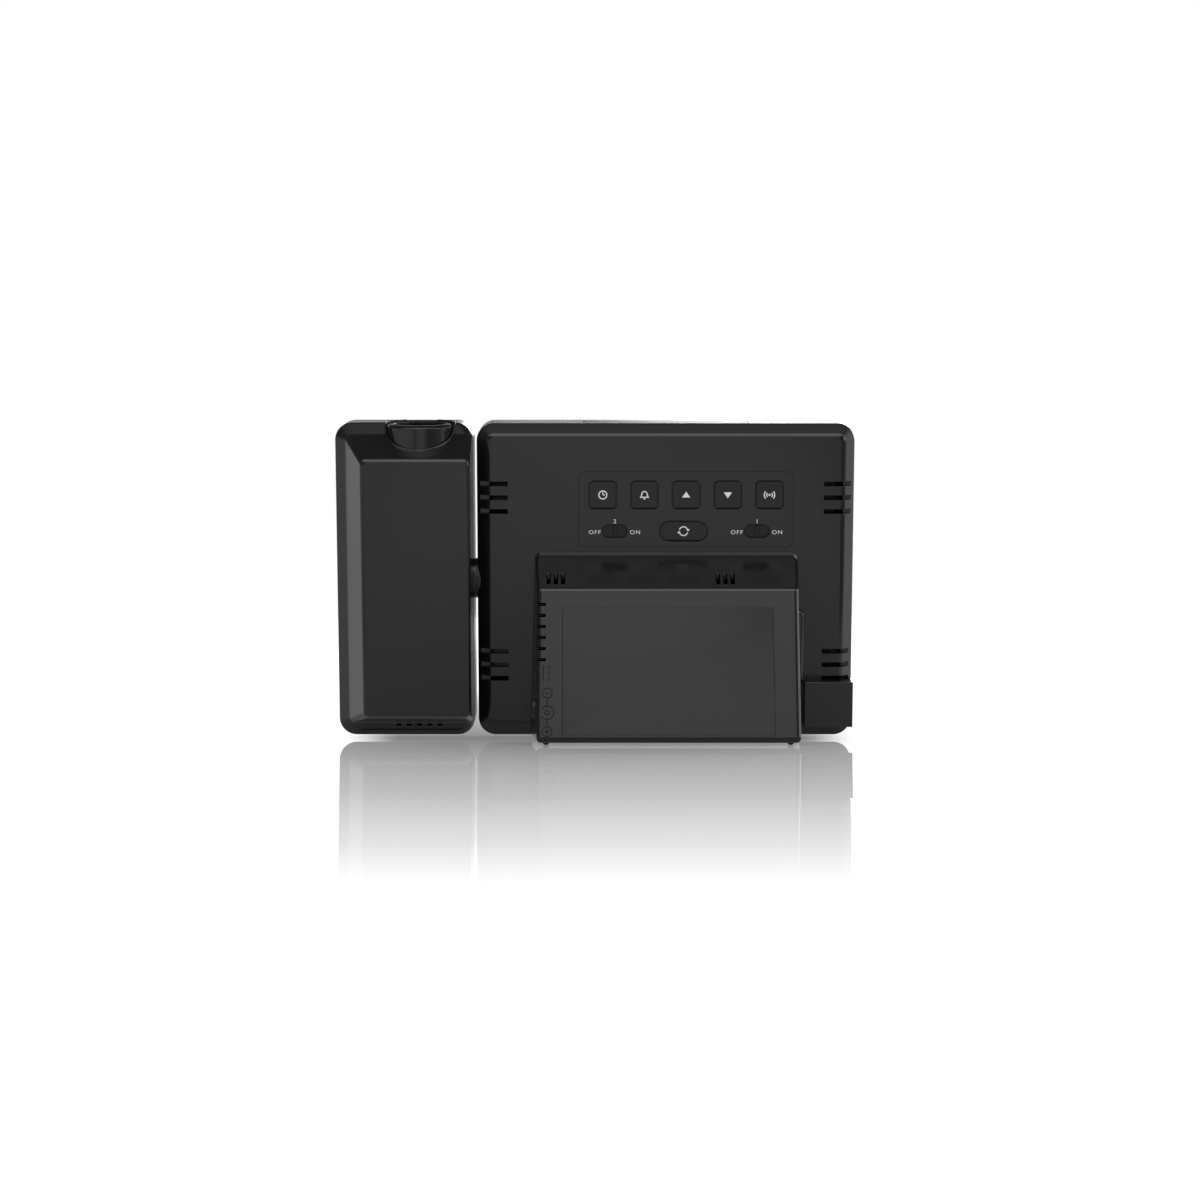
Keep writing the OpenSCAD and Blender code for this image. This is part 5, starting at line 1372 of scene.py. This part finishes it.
KEPT = {
    "lcd_panel": DISPLAY, "backlight_panel": DIFFUSER, "slide_switch_bodies": STEEL,
    "main_board": SHADED_BOARD, "tact_switches": STEEL, "board_screws": STEEL, "case_screws": STEEL,
    "stand_screws": STEEL, "battery_tray": INNER, "battery_contacts": SPRING,
    "battery_cells": CELLS, "speaker": INNER, "dc_jack_pin": STEEL, "usb_socket": STEEL,
    "usb_tongue": DIFFUSER, "hinge_bush": BUSH, "hinge_shaft": STEEL, "spring_washer": SPRING,
    "retaining_ring": STEEL, "hinge_wires": WIRE, "lens_barrel": INNER,
    "projection_lens": CLEAR, "image_panel": DISPLAY, "condenser_lens": CLEAR,
    "lamp_board": SHADED_BOARD, "lamp_screws": STEEL,
}


# ---------------------------------------------------------------- stage

VIEW_X, VIEW_Y, VIEW_Z = -1.87, 852.7, 51.4
FOCAL, SENSOR = 70.02, 36.0


def camera():
    """A level camera behind the clock."""
    data = bpy.data.cameras.new("camera")
    data.sensor_fit = "HORIZONTAL"
    data.sensor_width = SENSOR
    data.lens = FOCAL
    data.clip_start = 0.01
    data.clip_end = 50
    eye = bpy.data.objects.new("camera", data)
    eye.location = Vector((VIEW_X, VIEW_Y, VIEW_Z)) * MM
    eye.rotation_euler = (math.pi / 2, 0, math.pi)
    bpy.context.scene.collection.objects.link(eye)
    bpy.context.scene.camera = eye


# How strongly the floor mirrors, by the distance from its middle in millimetres
MIRROR = [(0, 0.80), (42, 0.78), (241, 0.61), (361, 0.425), (442, 0.21), (500, 0.09), (553, 0.0)]
FLOOR_SIZE = 6
FLOOR_LEVEL = 0.72               # what the floor adds to its own light before the camera
MATT_LEVEL, MATT_MIRRORED = 0.60, 0.15
# Levels of the painted shadow under the clock and of the painted dimming beside the camera, in the
# floor's look in gloss
PAINTED_SHADOW_UNDER_CLOCK, BESIDE_CAMERA = 0.28, 0.06


def floor_glow(tree, place):
    """How bright the floor looks in the clock's gloss, painted by place: a painted shadow under the
    clock, and dimmer beside the camera.
    """
    x, y, _ = add(tree, "ShaderNodeSeparateXYZ", values=[place]).outputs
    wide = arithmetic(tree, "ABSOLUTE", x)
    middle = glide(tree, y, 0.0, 0.4, 0.46, 0.72)
    sides = blended(tree, glide(tree, wide, 0.10, 0.13), middle,
                    glide(tree, x, -0.15, 0.15, 1.15, 0.55))
    level = blended(tree, glide(tree, y, 0.04, 0.12), sides, middle)
    card = zone(tree, (wide, 0.125, 0.155), (x, 0.26, 0.19), (y, 0.04, 0.12))
    level = blended(tree, card, level, BESIDE_CAMERA)
    # Painted shadow over the footprints of the case and the stand
    case = zone(tree, (wide, 0.12, 0.09), (y, 0.008, -0.008))
    off = arithmetic(tree, "ABSOLUTE", arithmetic(tree, "SUBTRACT", x, CASE_MID * MM))
    stand = zone(tree, (off, 0.054, 0.046), (y, 0.042, 0.032))
    return blended(tree, arithmetic(tree, "MAXIMUM", case, stand), level, PAINTED_SHADOW_UNDER_CLOCK)


def floor():
    """Pale glossy floor that shows a fading reflection and a soft shadow."""
    bm = bmesh.new()
    bmesh.ops.create_grid(bm, x_segments=1, y_segments=1, size=FLOOR_SIZE)
    mesh = bpy.data.meshes.new("floor")
    bm.to_mesh(mesh)
    bm.free()
    ground = bpy.data.objects.new("floor", mesh)
    bpy.context.scene.collection.objects.link(ground)
    material, tree = new_material("pale_floor")
    place = add(tree, "ShaderNodeTexCoord").outputs["Object"]
    distance = add(tree, "ShaderNodeVectorMath", {"operation": "LENGTH"}, [place]).outputs["Value"]
    reach = MIRROR[-1][0]
    share = arithmetic(tree, "DIVIDE", distance, reach * MM, clamp=True)
    mirror = ramp(tree, share, [(d / reach, level) for d, level in MIRROR])
    direct, shown = ray_kinds(tree)
    strength = arithmetic(tree, "ADD", arithmetic(tree, "MULTIPLY", direct, FLOOR_LEVEL),
                          arithmetic(tree, "MULTIPLY", shown, floor_glow(tree, place)))
    matt = add(tree, "ShaderNodeBsdfDiffuse",
               Color=blended(tree, shown, MATT_LEVEL, MATT_MIRRORED))
    glow = add(tree, "ShaderNodeEmission", Color=(1, 1, 1, 1), Strength=strength)
    lifted = add(tree, "ShaderNodeAddShader", values=[matt.outputs[0], glow.outputs[0]])
    gloss = add(tree, "ShaderNodeBsdfGlossy", Color=(1, 1, 1, 1), Roughness=0.0)
    weight = arithmetic(tree, "MULTIPLY", mirror, direct)
    ending(tree, add(tree, "ShaderNodeMixShader",
                     values=[weight, lifted.outputs[0], gloss.outputs[0]]))
    mesh.materials.append(material)


# Light over the clock, by the angle from the camera's side (0) over the head to the far side (180)
OVERHEAD = [(0, 0.62), (18, 1.0), (28, 1.25), (38, 1.9), (45, 3.3), (56, 3.3), (64, 1.5),
            (73, 0.62), (84, 0.2), (94, 0.03), (116, 0.03), (150, 0.10), (160, 0.25)]
TOP_LEVEL = 3.3                  # what the ramp's full scale stands for
PLAIN = 1.0                      # level that lights the matt share of every surface
CARD_LEVEL, STRIP_LEVEL = 0.12, 3.6


def surroundings():
    """Soft studio light, by direction: x across, y towards the camera and z up.
    Every surface gets plain light; gloss and glass show the softboxes and dark cards."""
    world = bpy.data.worlds.new("studio")
    world.use_nodes = True
    tree = world.node_tree
    tree.nodes.clear()
    way = add(tree, "ShaderNodeTexCoord").outputs["Generated"]
    axes = add(tree, "ShaderNodeSeparateXYZ", values=[way]).outputs
    x, y = axes["X"], axes["Y"]
    z = arithmetic(tree, "ABSOLUTE", axes["Z"])
    wide = arithmetic(tree, "ABSOLUTE", x)

    # The softbox overhead, and a dark card on either side of the camera
    share = arithmetic(tree, "DIVIDE", arithmetic(tree, "ARCTAN2", z, y), math.pi, clamp=True)
    over = ramp(tree, share, [(angle / 180, level / TOP_LEVEL) for angle, level in OVERHEAD])
    over = arithmetic(tree, "MULTIPLY", over, TOP_LEVEL)
    cards = zone(tree, (wide, 0.17, 0.30), (wide, 0.85, 0.70), (z, 0.66, 0.52), (y, 0.2, 0.4))
    over = blended(tree, cards, over, CARD_LEVEL)

    # Low at the back: much brighter towards one side and dimmer towards the other
    back = zone(tree, (z, 0.34, 0.24), (y, -0.3, -0.8))
    over = blended(tree, back, over,
                   arithmetic(tree, "MULTIPLY", glide(tree, x, 0.01, -0.07, 1.0, 8.0),
                              glide(tree, x, 0.04, 0.055, 1.0, 0.5)))

    # The two sides, with a bright upright strip in one of them
    left = arithmetic(tree, "MULTIPLY", glide(tree, z, 0.06, 0.22, 0.8, 0.12),
                      glide(tree, y, -0.7, -0.2, 0.75, 0.66))
    right = arithmetic(tree, "MULTIPLY", 1.3, glide(tree, z, 0.35, 0.75, 1.0, 0.25))
    strip = zone(tree, (x, -0.76, -0.85), (y, 0.12, 0.22))
    right = blended(tree, strip, right, STRIP_LEVEL)
    side = blended(tree, glide(tree, x, -0.1, 0.1), right, left)
    level = blended(tree, glide(tree, wide, 0.62, 0.85), over, side)

    # Just over the floor at the back: dark straight on, and bright beyond
    skyline = zone(tree, (z, 0.13, 0.10), (y, -0.5, -0.8))
    level = blended(tree, skyline, level, glide(tree, wide, 0.085, 0.11, 0.06, 1.0))

    direct, shown = ray_kinds(tree)
    strength = blended(tree, direct, blended(tree, shown, PLAIN, level), 1.0)
    ending(tree, add(tree, "ShaderNodeBackground", Color=(1, 1, 1, 1), Strength=strength),
           "ShaderNodeOutputWorld")
    bpy.context.scene.world = world


def main():
    """Makes every piece, the floor, the light and the camera."""
    camera()
    for node, material in KEPT.items():
        finish_node(node, material)
    rear_case()
    front_bezel()
    display_window()
    key_plate()
    for name in KEY_NAMES:
        key(f"{name}_key_top", KEY_X[name], KEY_Z, KEY_SIZE, KEY_SIZE, KEY_R,
            "key_" + name, name + "_key")
    key("rotate_key_top", ROTATE.x, LOWER_Z, ROTATE_W, ROTATE_H, ROTATE_H / 2 - FLAT_END,
        "key_rotate", "rotate_key")
    for number in SWITCH_X:
        slide_knob(number)
    key_signs()
    switch_signs()
    snooze_bar()
    display_digits()
    stand_body()
    battery_cover()
    power_marks()
    power_socket()
    rear_feet()
    front_feet()
    arm_rear()
    arm_front()
    focus_ring()
    lens_carrier()
    floor()
    surroundings()
    bpy.context.scene.view_settings.view_transform = "Standard"


main()
